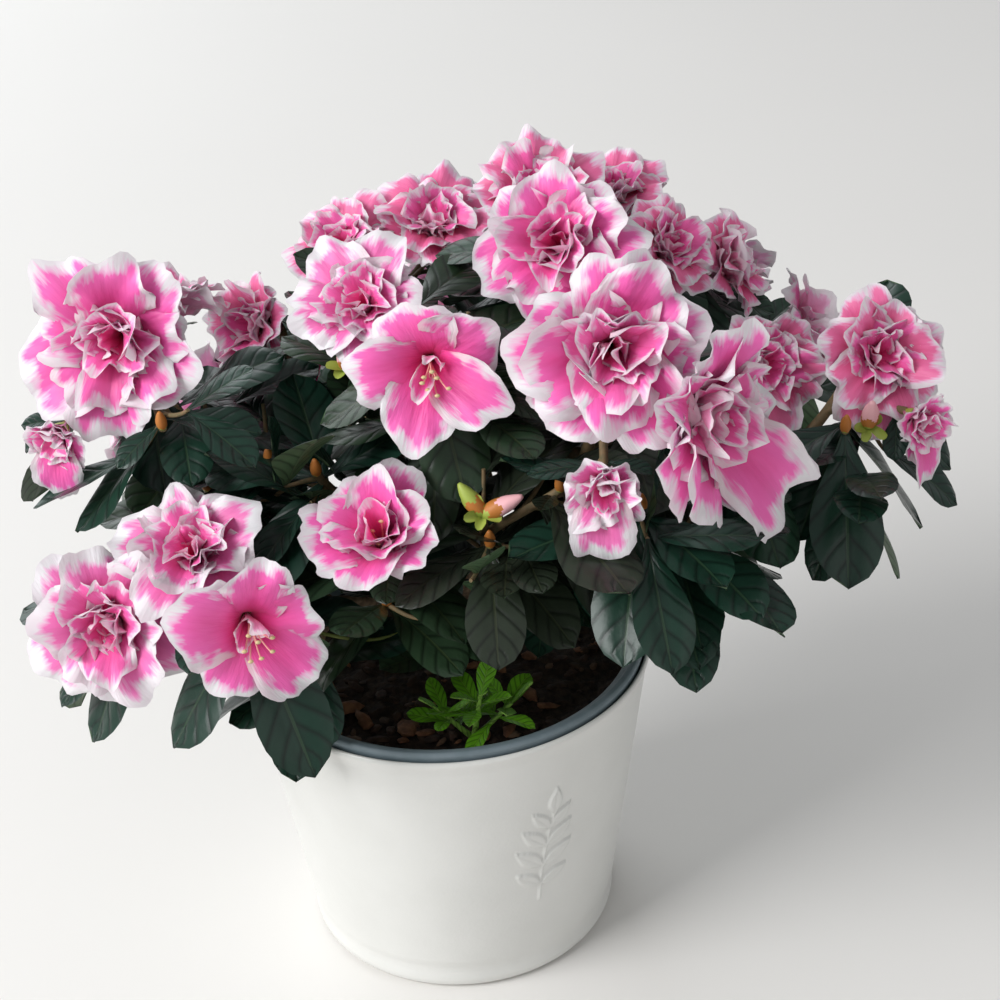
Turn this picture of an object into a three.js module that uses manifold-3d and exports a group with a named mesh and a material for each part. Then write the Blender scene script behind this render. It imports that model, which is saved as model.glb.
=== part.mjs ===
// An azalea in flower, standing in its tin planter. Millimetres, Z up.
// The origin is the middle of the planter's flat underside. The side that is seen first looks along -Y.
import * as THREE from 'three';
import { mergeVertices } from 'three/addons/utils/BufferGeometryUtils.js';
import Module from 'manifold-3d';

const wasm = await Module();
wasm.setup();

// Driving dimensions
const gap = 0.35;                 // air between one solid and the next
const roundSides = 32;            // facets round the planter, the liner and the soil
const planter = { height: 112, rim: 70, foot: 54, wall: 1, floor: 1.4, band: 9, bead: 0.9, edge: 2.2 };
const liner = { top: 114.6, lip: 68.7, lipWidth: 5.4, lipDrop: 8, step: 1.6, wall: 1.8, floor: 2 };
const soil = { level: 103, mound: 2.4, hollow: 1.2 };
const trunkForm = { foot: [0, 7, soil.level + gap], top: [3, 2, 131], base: 5.4, tip: 4, flare: 3.4 };
const limbForm = { base: 3, tip: 1.9, side: 0.8, bow: 0.38, climb: 0.5 };
const stemForm = { base: 2, tip: 1.4, bow: 0.36, climb: 0.3 };
const twigForm = { base: 1.6, tip: 1.3, bow: 0.3, first: 0.42, step: 0.16, last: 0.8 };
const leafForm = { wide: 0.265, stalk: 0.6, thickRoot: 0.6, thickTip: 0.5, sag: 0.1, length: 43, spread: 8 };
const bloomForm = { depth: 0.23, tube: 0.2, notch: 0.09, ruffle: 0.035, waves: 7.5, inner: 0.6, rise: 0.42 };
const bloomBall = { wide: 0.52, deep: 0.17, low: 0.14 };    // the room that leaves keep from a bloom
const smallBloom = 42;            // a bloom up to this size has two points a lobe, a larger one three
const budForm = { long: 13, wide: 3.4 };
const whorl = { ownFirst: 2, first: 3, step: 1.7, lowest: 0.12, rise: 0.15, riseSpread: 0.4, droop: 0.25 };
const goldenTurn = 137.5;         // from one leaf of a whorl to the next, round the twig, in degrees
const reachBeyondHeads = 46;      // a spray's space ends this far from its furthest head
const leafRoom = 3.8;             // least room between the blades of one spray
const halfTriangle = Math.sqrt(3) / 2;    // from the middle plane of a three-sided cone to its corner
const trunkRoom = gap * 1.1;      // air that limbs are cut to, off the trunk
const limbRoom = gap * 1.2;       // and off each other
const leafTries = [
  [16, 0], [-16, 0], [0, 18], [0, -18], [32, 8], [-32, 8], [24, -24], [-24, -24], [50, -6], [-50, -6], [0, -40],
];                                // turns sideways and up, in degrees, that a leaf may take

const upward = new THREE.Vector3(0, 0, 1);
const radians = (degrees) => degrees * Math.PI / 180;
const point = (list) => new THREE.Vector3(...list);

// A direction from its azimuth, 0 towards the front and 90 to the right, and its elevation.
function heading([azimuth, elevation]) {
  const flat = Math.cos(radians(elevation));
  return new THREE.Vector3(
    Math.sin(radians(azimuth)) * flat,
    -Math.cos(radians(azimuth)) * flat,
    Math.sin(radians(elevation)),
  );
}

// Numbers from 0 to 1 that are the same in every run.
function seeded(seed) {
  let state = seed;
  return () => {
    state = (state * 16807) % 2147483647;
    return state / 2147483647;
  };
}

// The limbs, each from a place on its parent to the foot of the spray it carries.
const limbs = [
  { name: 'top_bough', parent: 'trunk', from: 0.97, spray: 'high_crown' },
  { name: 'front_bough', parent: 'trunk', from: 0.86, spray: 'front_crest' },
  { name: 'right_bough', parent: 'trunk', from: 0.74, spray: 'right_end' },
  { name: 'left_bough', parent: 'trunk', from: 0.8, spray: 'left_end' },
  { name: 'back_bough', parent: 'trunk', from: 0.7, spray: 'back_middle' },
  { name: 'low_left_bough', parent: 'trunk', from: 0.5, spray: 'low_left' },
  { name: 'back_right_bough', parent: 'trunk', from: 0.55, spray: 'back_right' },
  { name: 'back_left_bough', parent: 'trunk', from: 0.5, spray: 'back_left' },
  { name: 'right_middle_branch', parent: 'right_bough', from: 0.62, spray: 'right_middle' },
  { name: 'high_right_branch', parent: 'right_bough', from: 0.4, spray: 'high_right' },
  { name: 'centre_branch', parent: 'top_bough', from: 0.5, spray: 'centre_front' },
  { name: 'left_top_branch', parent: 'left_bough', from: 0.3, spray: 'left_top' },
  { name: 'high_left_branch', parent: 'back_bough', from: 0.42, spray: 'high_left' },
  { name: 'left_middle_branch', parent: 'left_bough', from: 0.55, spray: 'left_middle' },
  { name: 'low_front_branch', parent: 'low_left_bough', from: 0.52, spray: 'low_front' },
  { name: 'low_centre_branch', parent: 'low_left_bough', from: 0.3, spray: 'low_centre' },
  { name: 'shoot_branch', parent: 'front_bough', from: 0.3, spray: 'front_shoots' },
  { name: 'low_right_branch', parent: 'front_bough', from: 0.45, spray: 'low_right' },
  { name: 'right_side_branch', parent: 'right_bough', from: 0.3, spray: 'right_side' },
  { name: 'left_side_branch', parent: 'left_bough', from: 0.42, spray: 'left_side' },
  { name: 'inner_left_branch', parent: 'left_bough', from: 0.2, spray: 'inner_left' },
  { name: 'inner_right_branch', parent: 'front_bough', from: 0.62, spray: 'inner_right' },
];

// The sprays. A stem runs from foot by hub to the first head, and a twig from the stem to each
// other head. A head with a size bears a bloom that faces [azimuth, elevation], a bud head a bud,
// and any other head leaves alone. ring is the number of leaves in its whorl that follow the
// rule, and leaves are those with a heading and length of their own.
const sprays = [
  { name: 'front_crest', seed: 11, foot: [42, -32, 190], hub: [49, -43, 204], heads: [
    { at: [55, -74, 257], faces: [0, 20], size: 59, ring: 5 },
    { at: [86, -78, 236], faces: [46, 0], size: 52, ring: 4, leaves: [[40, -22, 44]] },
    { at: [50, -84, 215], faces: [-6, 0], size: 36, ring: 2, leaves: [[-66, -12, 43]] },
  ] },
  { name: 'high_crown', seed: 23, foot: [33, 6, 204], hub: [36, 8, 219], heads: [
    { at: [40, -6, 264], faces: [-20, 40], size: 54, ring: 6 },
    { at: [38, 28, 271], faces: [0, 72], size: 46, ring: 6 },
  ] },
  { name: 'high_right', seed: 31, foot: [70, 28, 196], hub: [80, 35, 210], heads: [
    { at: [64, 52, 258], faces: [0, 70], size: 38, ring: 5 },
    { at: [83, 26, 246], faces: [50, 45], size: 38, ring: 4 },
    { at: [107, 46, 230], faces: [75, 30], size: 38, ring: 5 },
  ] },
  { name: 'right_middle', seed: 47, foot: [86, -3, 186], hub: [96, -4, 198], heads: [
    { at: [113, 6, 210], faces: [26, 25], size: 41, ring: 5 },
  ] },
  { name: 'right_end', seed: 53, foot: [117, -2, 182], hub: [129, -4, 192], heads: [
    { at: [146, -9, 219], faces: [14, 28], size: 47, ring: 4 },
    { at: [157, -30, 202], faces: [30, -5], size: 30, ring: 2 },
    { at: [131, -22, 199], ring: 3, leaves: [[-5, -44, 48], [62, -34, 43], [-30, -14, 36]] },
    { at: [139, -31, 203], faces: [0, 20], bud: 1, ring: 0 },
  ] },
  { name: 'centre_front', seed: 61, foot: [5, -14, 197], hub: [4, -20, 211], heads: [
    { at: [2, -52, 243], faces: [0, 15], size: 46, ring: 4 },
    { at: [5, -36, 219], ring: 4, leaves: [[-7, -22, 38], [30, 2, 38], [-60, -14, 40]] },
  ] },
  { name: 'left_top', seed: 73, foot: [-13, -1, 202], hub: [-16, -4, 216], heads: [
    { at: [-20, -21, 255], faces: [-20, 50], size: 42, ring: 3 },
    { at: [-23, -17, 233], ring: 3, leaves: [[-40, -26, 42], [-62, 8, 40]] },
    { at: [-28, -24, 236], faces: [-20, 45], bud: 1, ring: 0 },
  ] },
  { name: 'high_left', seed: 83, foot: [-9, 28, 202], hub: [-12, 35, 216], heads: [
    { at: [-28, 42, 248], faces: [-30, 60], size: 38, ring: 5 },
    { at: [4, 46, 253], faces: [10, 65], size: 42, ring: 5 },
  ] },
  { name: 'left_end', seed: 97, foot: [-73, -5, 195], hub: [-84, -6, 205], heads: [
    { at: [-98, -18, 242], faces: [-10, 20], size: 58, ring: 5 },
    { at: [-84, 31, 237], faces: [165, 55], size: 38, ring: 4 },
    { at: [-117, -34, 214], faces: [-40, -45], size: 28, ring: 2 },
    { at: [-83, -26, 215], ring: 3, leaves: [[-36, -46, 41], [57, -40, 38], [84, -4, 32]] },
  ] },
  { name: 'left_middle', seed: 103, foot: [-45, 20, 186], hub: [-54, 24, 197], heads: [
    { at: [-62, 33, 221], faces: [-50, 25], size: 38, ring: 5 },
  ] },
  { name: 'low_left', seed: 113, foot: [-72, -32, 150], hub: [-83, -38, 156], heads: [
    { at: [-104, -65, 166], faces: [-10, 15], size: 54, ring: 5 },
    { at: [-75, -58, 193], faces: [-10, 58], size: 46, ring: 5 },
  ] },
  { name: 'low_front', seed: 127, foot: [-42, -43, 147], hub: [-49, -53, 155], heads: [
    { at: [-53, -90, 178], faces: [15, 12], size: 46, ring: 4, leaves: [[-50, -30, 50], [36, -40, 50]] },
  ] },
  { name: 'low_centre', seed: 131, foot: [-13, -35, 148], hub: [-16, -45, 161], heads: [
    { at: [-17, -64, 199], faces: [-16, 62], size: 47, ring: 4 },
    { at: [-16, -58, 166], ring: 4, leaves: [[42, -8, 34], [-40, 20, 34]] },
  ] },
  { name: 'front_shoots', seed: 149, foot: [14, -35, 162], hub: [17, -45, 176], heads: [
    { at: [17, -71, 207], faces: [10, 40], bud: 2, ring: 2 },
    { at: [17, -62, 188], ring: 4, leaves: [[2, -32, 37], [-60, -24, 34]] },
    { at: [39, -58, 204], ring: 3, leaves: [[-30, -18, 38], [4, -30, 40]] },
  ] },
  { name: 'low_right', seed: 157, foot: [50, -35, 160], hub: [60, -44, 175], heads: [
    { at: [63, -62, 198], ring: 3, leaves: [[-14, -34, 46], [34, -20, 40]] },
    { at: [76, -58, 184], ring: 3, leaves: [[33, -4, 38], [8, -24, 36]] },
  ] },
  { name: 'back_right', seed: 167, foot: [80, 58, 174], hub: [92, 70, 185], heads: [
    { at: [104, 96, 210], faces: [150, 35], size: 50, ring: 5 },
    { at: [138, 58, 196], faces: [100, 20], size: 46, ring: 5 },
    { at: [112, 92, 170], ring: 5 },
  ] },
  { name: 'back_middle', seed: 179, foot: [24, 60, 180], hub: [29, 74, 193], heads: [
    { at: [32, 106, 226], faces: [175, 40], size: 52, ring: 5 },
    { at: [62, 112, 198], faces: [160, 15], size: 46, ring: 4 },
    { at: [0, 112, 194], faces: [-165, 20], size: 46, ring: 4 },
  ] },
  { name: 'back_left', seed: 191, foot: [-36, 46, 162], hub: [-46, 58, 171], heads: [
    { at: [-50, 88, 190], faces: [-165, 35], size: 50, ring: 5 },
    { at: [-84, 69, 180], faces: [-120, 20], size: 46, ring: 5 },
    { at: [-20, 88, 158], ring: 5 },
  ] },
  { name: 'right_side', seed: 199, foot: [60, 8, 156], hub: [70, 12, 164], heads: [
    { at: [97, 32, 173], faces: [95, 12], size: 42, ring: 5 },
    { at: [86, 2, 168], ring: 5 },
  ] },
  { name: 'left_side', seed: 211, foot: [-50, 12, 158], hub: [-60, 16, 166], heads: [
    { at: [-103, 27, 194], faces: [-105, 15], size: 42, ring: 5 },
    { at: [-78, 12, 170], ring: 5 },
  ] },
  { name: 'inner_left', seed: 223, foot: [-22, -14, 170], hub: [-27, -20, 179], heads: [
    { at: [-36, -34, 200], ring: 5 },
    { at: [-10, -34, 190], ring: 4 },
    { at: [-52, -18, 196], ring: 5 },
  ] },
  { name: 'inner_right', seed: 227, foot: [38, -14, 180], hub: [42, -14, 188], heads: [
    { at: [62, -22, 206], ring: 5 },
    { at: [28, -30, 196], ring: 5 },
  ] },
];

const youngShoot = { foot: [8, -45, soil.level + 0.5], lean: [20, 62], height: 22, leaves: 8, leaf: 21 };

const finishes = {
  cream: { color: 0xf1eee6, roughness: 0.38, metalness: 0.1 },
  slate: { color: 0x5d6a72, roughness: 0.6, metalness: 0 },
  earth: { color: 0x2a1d16, roughness: 1, metalness: 0 },
  bark: { color: 0x6a5140, roughness: 0.9, metalness: 0 },
  spray: { color: 0x2f5a33, roughness: 0.55, metalness: 0 },
  young: { color: 0x7fb52c, roughness: 0.6, metalness: 0 },
};

// A closed geometry as a solid: only positions, shared vertices, no empty triangles.
function solidOf(geometry) {
  geometry.deleteAttribute('normal');
  geometry.deleteAttribute('uv');
  const merged = mergeVertices(geometry, 1e-4);
  const corners = merged.index.array;
  const kept = [];
  for (let k = 0; k < corners.length; k += 3) {
    const [a, b, c] = [corners[k], corners[k + 1], corners[k + 2]];
    if (a !== b && b !== c && c !== a) kept.push(a, b, c);
  }
  return new wasm.Manifold(new wasm.Mesh({
    numProp: 3,
    vertProperties: new Float32Array(merged.attributes.position.array),
    triVerts: new Uint32Array(kept),
  }));
}

// Moves every vertex of a geometry by a rule from (x, y, z) to a new point.
function reshape(geometry, rule) {
  const places = geometry.attributes.position;
  for (let k = 0; k < places.count; k += 1) {
    const moved = rule(places.getX(k), places.getY(k), places.getZ(k));
    places.setXYZ(k, moved.x, moved.y, moved.z);
  }
  return geometry;
}

// A rod whose centre line follows a curve and whose radius is a rule of the way along it. It
// runs past both ends of the curve by the overrun.
function rod(curve, radiusAt, sides, steps, overrun = 0) {
  const frames = curve.computeFrenetFrames(steps);
  return solidOf(reshape(new THREE.CylinderGeometry(1, 1, 1, sides, steps), (x, y, z) => {
    const way = y + 0.5;
    const step = Math.round(way * steps);
    const past = Math.trunc(2 * way - 1) * overrun;
    return curve.getPointAt(way)
      .addScaledVector(frames.tangents[step], past)
      .addScaledVector(frames.normals[step], x * radiusAt(way))
      .addScaledVector(frames.binormals[step], -z * radiusAt(way));
  }));
}

const taper = (base, tip) => (way) => base + (tip - base) * way;

// A curve from one point to another that leaves and arrives in given directions.
function route(start, leaving, end, arriving, bow) {
  const span = start.distanceTo(end) * bow;
  return new THREE.CubicBezierCurve3(
    start,
    start.clone().addScaledVector(leaving, span),
    end.clone().addScaledVector(arriving, -span),
    end,
  );
}

// Turns a profile of [radius, height] pairs round the upright axis.
function turned(profile) {
  const outline = profile.map(([radius, height]) => new THREE.Vector2(radius, height));
  return solidOf(new THREE.LatheGeometry(outline, roundSides).rotateX(Math.PI / 2));
}

// Three directions square to each other, the second one given.
function framed(direction) {
  const side = Math.abs(direction.z) > 0.9 ? new THREE.Vector3(1, 0, 0) : upward;
  const across = new THREE.Vector3().crossVectors(direction, side).normalize();
  return { across, along: direction, normal: new THREE.Vector3().crossVectors(across, direction) };
}

const wallAt = (height) => planter.foot + (planter.rim - planter.foot) * height / planter.height;

// The tin: a cone with a beaded foot band, a groove over it and a rolled rim.
function tinPlanter() {
  const { height, wall, floor, band, bead, edge } = planter;
  const low = wallAt(0);
  return turned([
    [0, 0],
    [low - edge, 0],
    [low + bead * 0.6, edge * 0.7],
    [low + bead + 0.3, band * 0.45],
    [low + bead, band * 0.85],
    [wallAt(band) - 0.2, band * 1.15],
    [wallAt(height - 6), height - 6],
    [planter.rim + 0.2, height - 2.2],
    [planter.rim + 0.5, height - 0.9],
    [planter.rim, height],
    [planter.rim - wall, height],
    [wallAt(height - 6) - wall, height - 6],
    [low - wall, floor],
    [0, floor],
  ]);
}

// The plastic pot inside the tin: a stepped lip on a thin cone with a floor.
function linerPot() {
  const { top, lip, lipWidth, lipDrop, step, wall, floor } = liner;
  const seat = planter.floor + gap;
  const lowOut = planter.foot - planter.wall - 2.5;
  const highOut = lip - 3;
  return turned([
    [0, seat],
    [lowOut, seat],
    [highOut, top - lipDrop - 1.5],
    [lip - 1.2, top - lipDrop],
    [lip, top - 1],
    [lip - 0.8, top],
    [lip - lipWidth * 0.5, top],
    [lip - lipWidth * 0.6, top - step],
    [lip - lipWidth, top - step - 0.4],
    [highOut - wall, top - lipDrop - 1.5],
    [lowOut - wall, seat + floor],
    [0, seat + floor],
  ]);
}

// The soil fills the liner: flat under the trunk, hollowed a little towards the wall.
function soilFill() {
  const bottom = planter.floor + gap + liner.floor + gap;
  const lowOut = planter.foot - planter.wall - 2.5 - liner.wall - gap;
  const highOut = liner.lip - 3 - liner.wall - gap;
  const slope = (highOut - lowOut) / (liner.top - liner.lipDrop - 1.5 - bottom);
  const edgeLevel = soil.level - soil.mound;
  const edgeRadius = lowOut + slope * (edgeLevel - bottom) - 0.3;
  return turned([
    [0, bottom],
    [lowOut - 0.2, bottom],
    [edgeRadius, edgeLevel],
    [edgeRadius * 0.78, edgeLevel - soil.hollow * 0.4],
    [edgeRadius * 0.45, soil.level - 0.6],
    [edgeRadius * 0.3, soil.level],
    [0, soil.level],
  ]);
}

// The trunk flares into its roots at the soil, where it is cut flat.
function trunkCurve() {
  const foot = point(trunkForm.foot);
  const top = point(trunkForm.top);
  const middle = new THREE.Vector3(foot.x, foot.y, (foot.z + top.z) / 2);
  return new THREE.QuadraticBezierCurve3(foot, middle, top);
}

const flare = (way) => trunkForm.flare * Math.exp(-way * 7);
const trunkRadius = (extra) => (way) => taper(trunkForm.base, trunkForm.tip)(way) + flare(way) + extra;
const trunkSolid = (extra) => rod(trunkCurve(), trunkRadius(extra), 9, 6, extra);

// A limb starts inside its parent, is cut clear of it, and ends flat at the foot of its spray.
function limbCurve(limb, parentCurve) {
  const start = parentCurve.getPointAt(limb.from);
  const foot = point(sprayNamed(limb.spray).foot);
  const arriving = sprayDirection(sprayNamed(limb.spray));
  const leaving = foot.clone().sub(start).normalize().addScaledVector(upward, limbForm.climb).normalize();
  return route(start, leaving, foot.addScaledVector(arriving, -gap), arriving, limbForm.bow);
}

const sprayNamed = (name) => sprays.find((spray) => spray.name === name);
const sprayDirection = (spray) => point(spray.hub).sub(point(spray.foot)).normalize();

// The calyx of a head: the bloom's tube starts there, behind the middle of its rim.
function calyxOf(head) {
  const back = (head.size || 0) * (bloomForm.depth + bloomForm.tube) + (head.bud ? budForm.long : 0);
  return head.faces ? point(head.at).addScaledVector(heading(head.faces), -back) : point(head.at);
}

// The stem leaves its foot towards the hub. Both it and a twig arrive half outwards and half as
// their head faces.
function arrivalAt(head, from) {
  const outward = calyxOf(head).sub(from).normalize();
  const facing = head.faces ? heading(head.faces) : outward.clone();
  return outward.add(facing).addScaledVector(upward, stemForm.climb).normalize();
}

function stemCurve(spray) {
  const arriving = arrivalAt(spray.heads[0], point(spray.hub));
  const end = calyxOf(spray.heads[0]).addScaledVector(arriving, 1);
  return route(point(spray.foot), sprayDirection(spray), end, arriving, stemForm.bow);
}

function twigCurve(spray, head, index, stem) {
  const way = Math.min(twigForm.first + twigForm.step * (index - 1), twigForm.last);
  const start = stem.getPointAt(way);
  const arriving = arrivalAt(head, start);
  const end = calyxOf(head).addScaledVector(arriving, 1);
  const leaving = end.clone().sub(start).normalize().add(stem.getTangentAt(way)).normalize();
  return route(start, leaving, end, arriving, twigForm.bow);
}

// A bloom turned in one piece: a funnel up from the calyx to an outer rim of five lobes, and
// above it an inner rim of five more that stand up between them. The rims are notched and ruffled.
function bloomSolid(head) {
  const { depth, tube, notch, ruffle, waves, inner, rise } = bloomForm;
  const profile = [
    [0, -depth - tube],
    [1, 0],
    [0.5, -depth * 0.55],
    [inner, depth * rise],
    [0, -depth * 0.8],
  ];
  const outline = profile.map(([way, height]) => new THREE.Vector2(way, height));
  const { across, along, normal } = framed(heading(head.faces));
  const half = head.size / 2 * (1 + notch);
  const sides = head.size > smallBloom ? 15 : 10;
  return solidOf(reshape(new THREE.LatheGeometry(outline, sides), (x, y, z) => {
    const way = Math.hypot(x, z);
    const angle = Math.atan2(x, z) - head.at[0] * 0.1 + (y > 0.01 ? Math.PI / 5 : 0);
    const edge = y > -0.01 ? 1 : 0.3;
    const lobe = 1 - notch * edge * (1 + Math.cos(5 * angle));
    const wave = edge * ruffle * Math.cos(waves * angle + head.size);
    return point(head.at)
      .addScaledVector(across, x * half * lobe)
      .addScaledVector(along, (y + (way > 0.1 ? wave : 0)) * head.size)
      .addScaledVector(normal, z * half * lobe);
  }));
}

// A bud, or a pair that stand side by side: pointed eggs on the end of the twig.
function budSolid(head, index) {
  const aside = framed(heading(head.faces)).across.multiplyScalar(index * budForm.wide * 1.6);
  const tip = point(head.at).add(aside);
  const egg = new THREE.LineCurve3(calyxOf(head).addScaledVector(aside, 0.2), tip);
  const plump = (way) => 0.5 + budForm.wide * Math.sin(Math.PI * Math.min(way * 0.85 + 0.08, 1));
  return rod(egg, plump, 4, 2);
}

// The line and the width of a leaf. It hangs by the square of the way along it.
function leafShape(root, along, length) {
  const { across, normal } = framed(along);
  const middle = (way) => root.clone()
    .addScaledVector(along, length * way)
    .addScaledVector(upward, -leafForm.sag * length * way * way);
  const half = (way) => Math.max(leafForm.stalk, leafForm.wide * length * Math.sin(Math.PI * way ** 1.15));
  return { across, normal, middle, half };
}

// A leaf blade of three sides: flat above, with a ridge for its midrib beneath.
function leafSolid(root, along, length, steps = 2) {
  const { across, normal, middle, half } = leafShape(root, along, length);
  return solidOf(reshape(new THREE.ConeGeometry(1, 1, 3, steps), (x, y, z) => {
    const way = y + 0.5;
    const unit = Math.max(1 - way, 1e-6);
    const thick = taper(leafForm.thickRoot, leafForm.thickTip)(way);
    return middle(way)
      .addScaledVector(across, way > 0.999 ? 0 : -x / unit * half(way) / halfTriangle)
      .addScaledVector(normal, way > 0.999 ? 0 : -z / unit * thick);
  }));
}

// Places on a leaf's blade, by which it is kept apart from the rest of its spray.
function leafMarks(root, along, length) {
  const { across, middle, half } = leafShape(root, along, length);
  const marks = [];
  for (const way of [0.3, 0.42, 0.54, 0.66, 0.78, 0.9, 1]) {
    for (const side of [-0.9, -0.45, 0, 0.45, 0.9]) {
      marks.push(middle(way).addScaledVector(across, way > 0.99 ? 0 : side * half(way)));
    }
  }
  return marks;
}

// True where a mark lies inside the flattened ball that a bloom fills.
function inBloom(mark, head) {
  const face = heading(head.faces);
  const from = mark.clone().sub(point(head.at));
  const height = from.dot(face);
  const aside = from.addScaledVector(face, -height).length();
  const { wide, deep, low } = bloomBall;
  return (aside / (head.size * wide)) ** 2 + ((height + head.size * low) / (head.size * deep)) ** 2 < 1;
}

// The leaves that the rule asks of one head, each with its root, heading and length.
function leavesOf(spray, head, curve, draw) {
  const asked = [];
  const reach = curve.getLength();
  const rootAt = (back) => curve.getPointAt(Math.max(whorl.lowest, 1 - back / reach));
  const own = head.leaves || [];
  own.forEach(([azimuth, elevation, length], k) => {
    const root = rootAt(whorl.ownFirst + whorl.step * k);
    asked.push({ root, along: heading([azimuth, elevation]), length, steps: 3 });
  });
  const { across, normal } = framed(curve.getTangentAt(1));
  let turn = draw() * 360;
  for (let k = 0; k < head.ring; k += 1) {
    const length = leafForm.length + leafForm.spread * (draw() - 0.6);
    const rise = whorl.rise + whorl.riseSpread * draw();
    const along = across.clone().multiplyScalar(Math.cos(radians(turn)))
      .addScaledVector(normal, Math.sin(radians(turn)))
      .addScaledVector(curve.getTangentAt(1), rise)
      .addScaledVector(upward, -whorl.droop)
      .normalize();
    asked.push({ root: rootAt(whorl.first + whorl.step * (k + own.length)), along, length });
    turn += goldenTurn;
  }
  return asked;
}

// The leaf turned a little this way and that about its root, nearest first.
function turnedTries(leaf) {
  const tries = [leaf];
  for (const [sideways, lift] of leafTries) {
    const along = leaf.along.clone()
      .applyAxisAngle(upward, radians(sideways))
      .addScaledVector(upward, Math.sin(radians(lift)))
      .normalize();
    tries.push({ ...leaf, along });
  }
  return tries;
}

// Everything that stands so far, as { owner, solid, box }.
const standing = [];

function stand(owner, solid) {
  const { min, max } = solid.boundingBox();
  standing.push({ owner, solid, box: new THREE.Box3(point(min), point(max)).expandByScalar(gap) });
}

// True where a solid keeps its gap to everything of another owner.
function clearOfOthers(solid, owner) {
  const { min, max } = solid.boundingBox();
  const box = new THREE.Box3(point(min), point(max)).expandByScalar(gap);
  return standing.every((other) => other.owner === owner
    || !other.box.intersectsBox(box)
    || other.solid.minGap(solid, gap * 2) >= gap);
}

const joined = (solids) => solids.reduce((whole, piece) => whole.add(piece));

// The one piece that matters: the largest, without loose scraps or sealed hollows.
function mainPiece(solid) {
  const pieces = solid.decompose();
  return pieces.reduce((best, piece) => (piece.volume() > best.volume() ? piece : best));
}

const group = new THREE.Group();

function addMesh(name, solid, finish) {
  const { vertProperties, triVerts } = solid.getMesh();
  const geometry = new THREE.BufferGeometry();
  geometry.setAttribute('position', new THREE.BufferAttribute(new Float32Array(vertProperties), 3));
  geometry.setIndex(new THREE.BufferAttribute(new Uint32Array(triVerts), 1));
  geometry.computeVertexNormals();
  const mesh = new THREE.Mesh(geometry, new THREE.MeshStandardMaterial(finishes[finish]));
  mesh.name = name;
  group.add(mesh);
}

// Planter, liner and soil
for (const [name, solid, finish] of [
  ['tin_planter', tinPlanter(), 'cream'],
  ['liner_pot', linerPot(), 'slate'],
  ['soil', soilFill(), 'earth'],
]) {
  stand(name, solid);
  addMesh(name, solid, finish);
}

// Trunk and limbs: each limb is cut clear of all that stand before it.
const curves = { trunk: trunkCurve() };
const trunk = trunkSolid(0);
stand('trunk', trunk);
addMesh('trunk', trunk, 'bark');
const clearances = [trunkSolid(trunkRoom)];
for (const limb of limbs) {
  const side = limb.parent !== 'trunk';
  const base = limbForm.base * (side ? limbForm.side : 1);
  const curve = limbCurve(limb, curves[limb.parent]);
  curves[limb.name] = curve;
  const steps = side ? 3 : 4;
  let solid = rod(curve, taper(base, limbForm.tip), 6, steps);
  for (const wider of clearances) solid = solid.subtract(wider);
  solid = mainPiece(solid);
  clearances.push(rod(curve, taper(base + limbRoom, limbForm.tip + limbRoom), 6, steps, gap));
  stand(limb.name, solid);
  addMesh(limb.name, solid, 'bark');
}

// The young shoot that stands in the soil by the planter's front, its leaves turned down its stalk.
const shootFoot = point(youngShoot.foot);
const shootTop = shootFoot.clone().addScaledVector(heading(youngShoot.lean), youngShoot.height);
const shootCurve = new THREE.LineCurve3(shootFoot, shootTop);
const shootDraw = seeded(7);
const shootParts = [rod(shootCurve, taper(1.3, 0.9), 4, 1)];
for (let k = 0; k < youngShoot.leaves; k += 1) {
  const root = shootCurve.getPointAt(0.94 - 0.09 * k);
  const length = youngShoot.leaf * (0.8 + 0.4 * shootDraw());
  const leaf = leafSolid(root, heading([k * goldenTurn + 20, 40 - 8 * k]), length);
  if (clearOfOthers(leaf, 'young_shoot')) shootParts.push(leaf);
}
const shoot = mainPiece(joined(shootParts));
stand('young_shoot', shoot);
addMesh('young_shoot', shoot, 'young');

// Sprays: first every stem, twig, bloom and bud, then the leaves in turn.
const grown = sprays.map((spray) => {
  const hub = point(spray.hub);
  const stem = stemCurve(spray);
  const parts = [rod(stem, taper(stemForm.base, stemForm.tip), 4, 4)];
  const draw = seeded(spray.seed);
  const asked = [];
  for (const [index, head] of spray.heads.entries()) {
    const curve = index === 0 ? stem : twigCurve(spray, head, index, stem);
    if (index > 0) parts.push(rod(curve, taper(twigForm.base, twigForm.tip), 3, 3));
    if (head.size) parts.push(bloomSolid(head));
    for (let k = 0; k < (head.bud || 0); k += 1) parts.push(budSolid(head, k));
    asked.push(...leavesOf(spray, head, curve, draw));
  }
  parts.forEach((part) => stand(spray.name, part));
  const blooms = spray.heads.filter((head) => head.size);
  const far = Math.max(...spray.heads.map((head) => point(head.at).distanceTo(hub)));
  return { spray, parts, asked, blooms, marks: [], hub, far: far + reachBeyondHeads };
});

const longest = Math.max(...grown.map((one) => one.asked.length));
for (let turn = 0; turn < longest; turn += 1) {
  for (const one of grown.filter((candidate) => turn < candidate.asked.length)) {
    for (const leaf of turnedTries(one.asked[turn])) {
      const marks = leafMarks(leaf.root, leaf.along, leaf.length);
      const inSpace = marks.every((mark) => mark.distanceTo(one.hub) < one.far);
      const offBlooms = marks.every((mark) => !one.blooms.some((head) => inBloom(mark, head)));
      const offLeaves = marks.every((mark) => one.marks.every((other) => mark.distanceTo(other) > leafRoom));
      if (inSpace && offBlooms && offLeaves) {
        const solid = leafSolid(leaf.root, leaf.along, leaf.length, leaf.steps);
        if (clearOfOthers(solid, one.spray.name)) {
          one.marks.push(...marks);
          one.parts.push(solid);
          stand(one.spray.name, solid);
          break;
        }
      }
    }
  }
}

for (const one of grown) addMesh(`${one.spray.name}_spray`, mainPiece(joined(one.parts)), 'spray');

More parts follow.
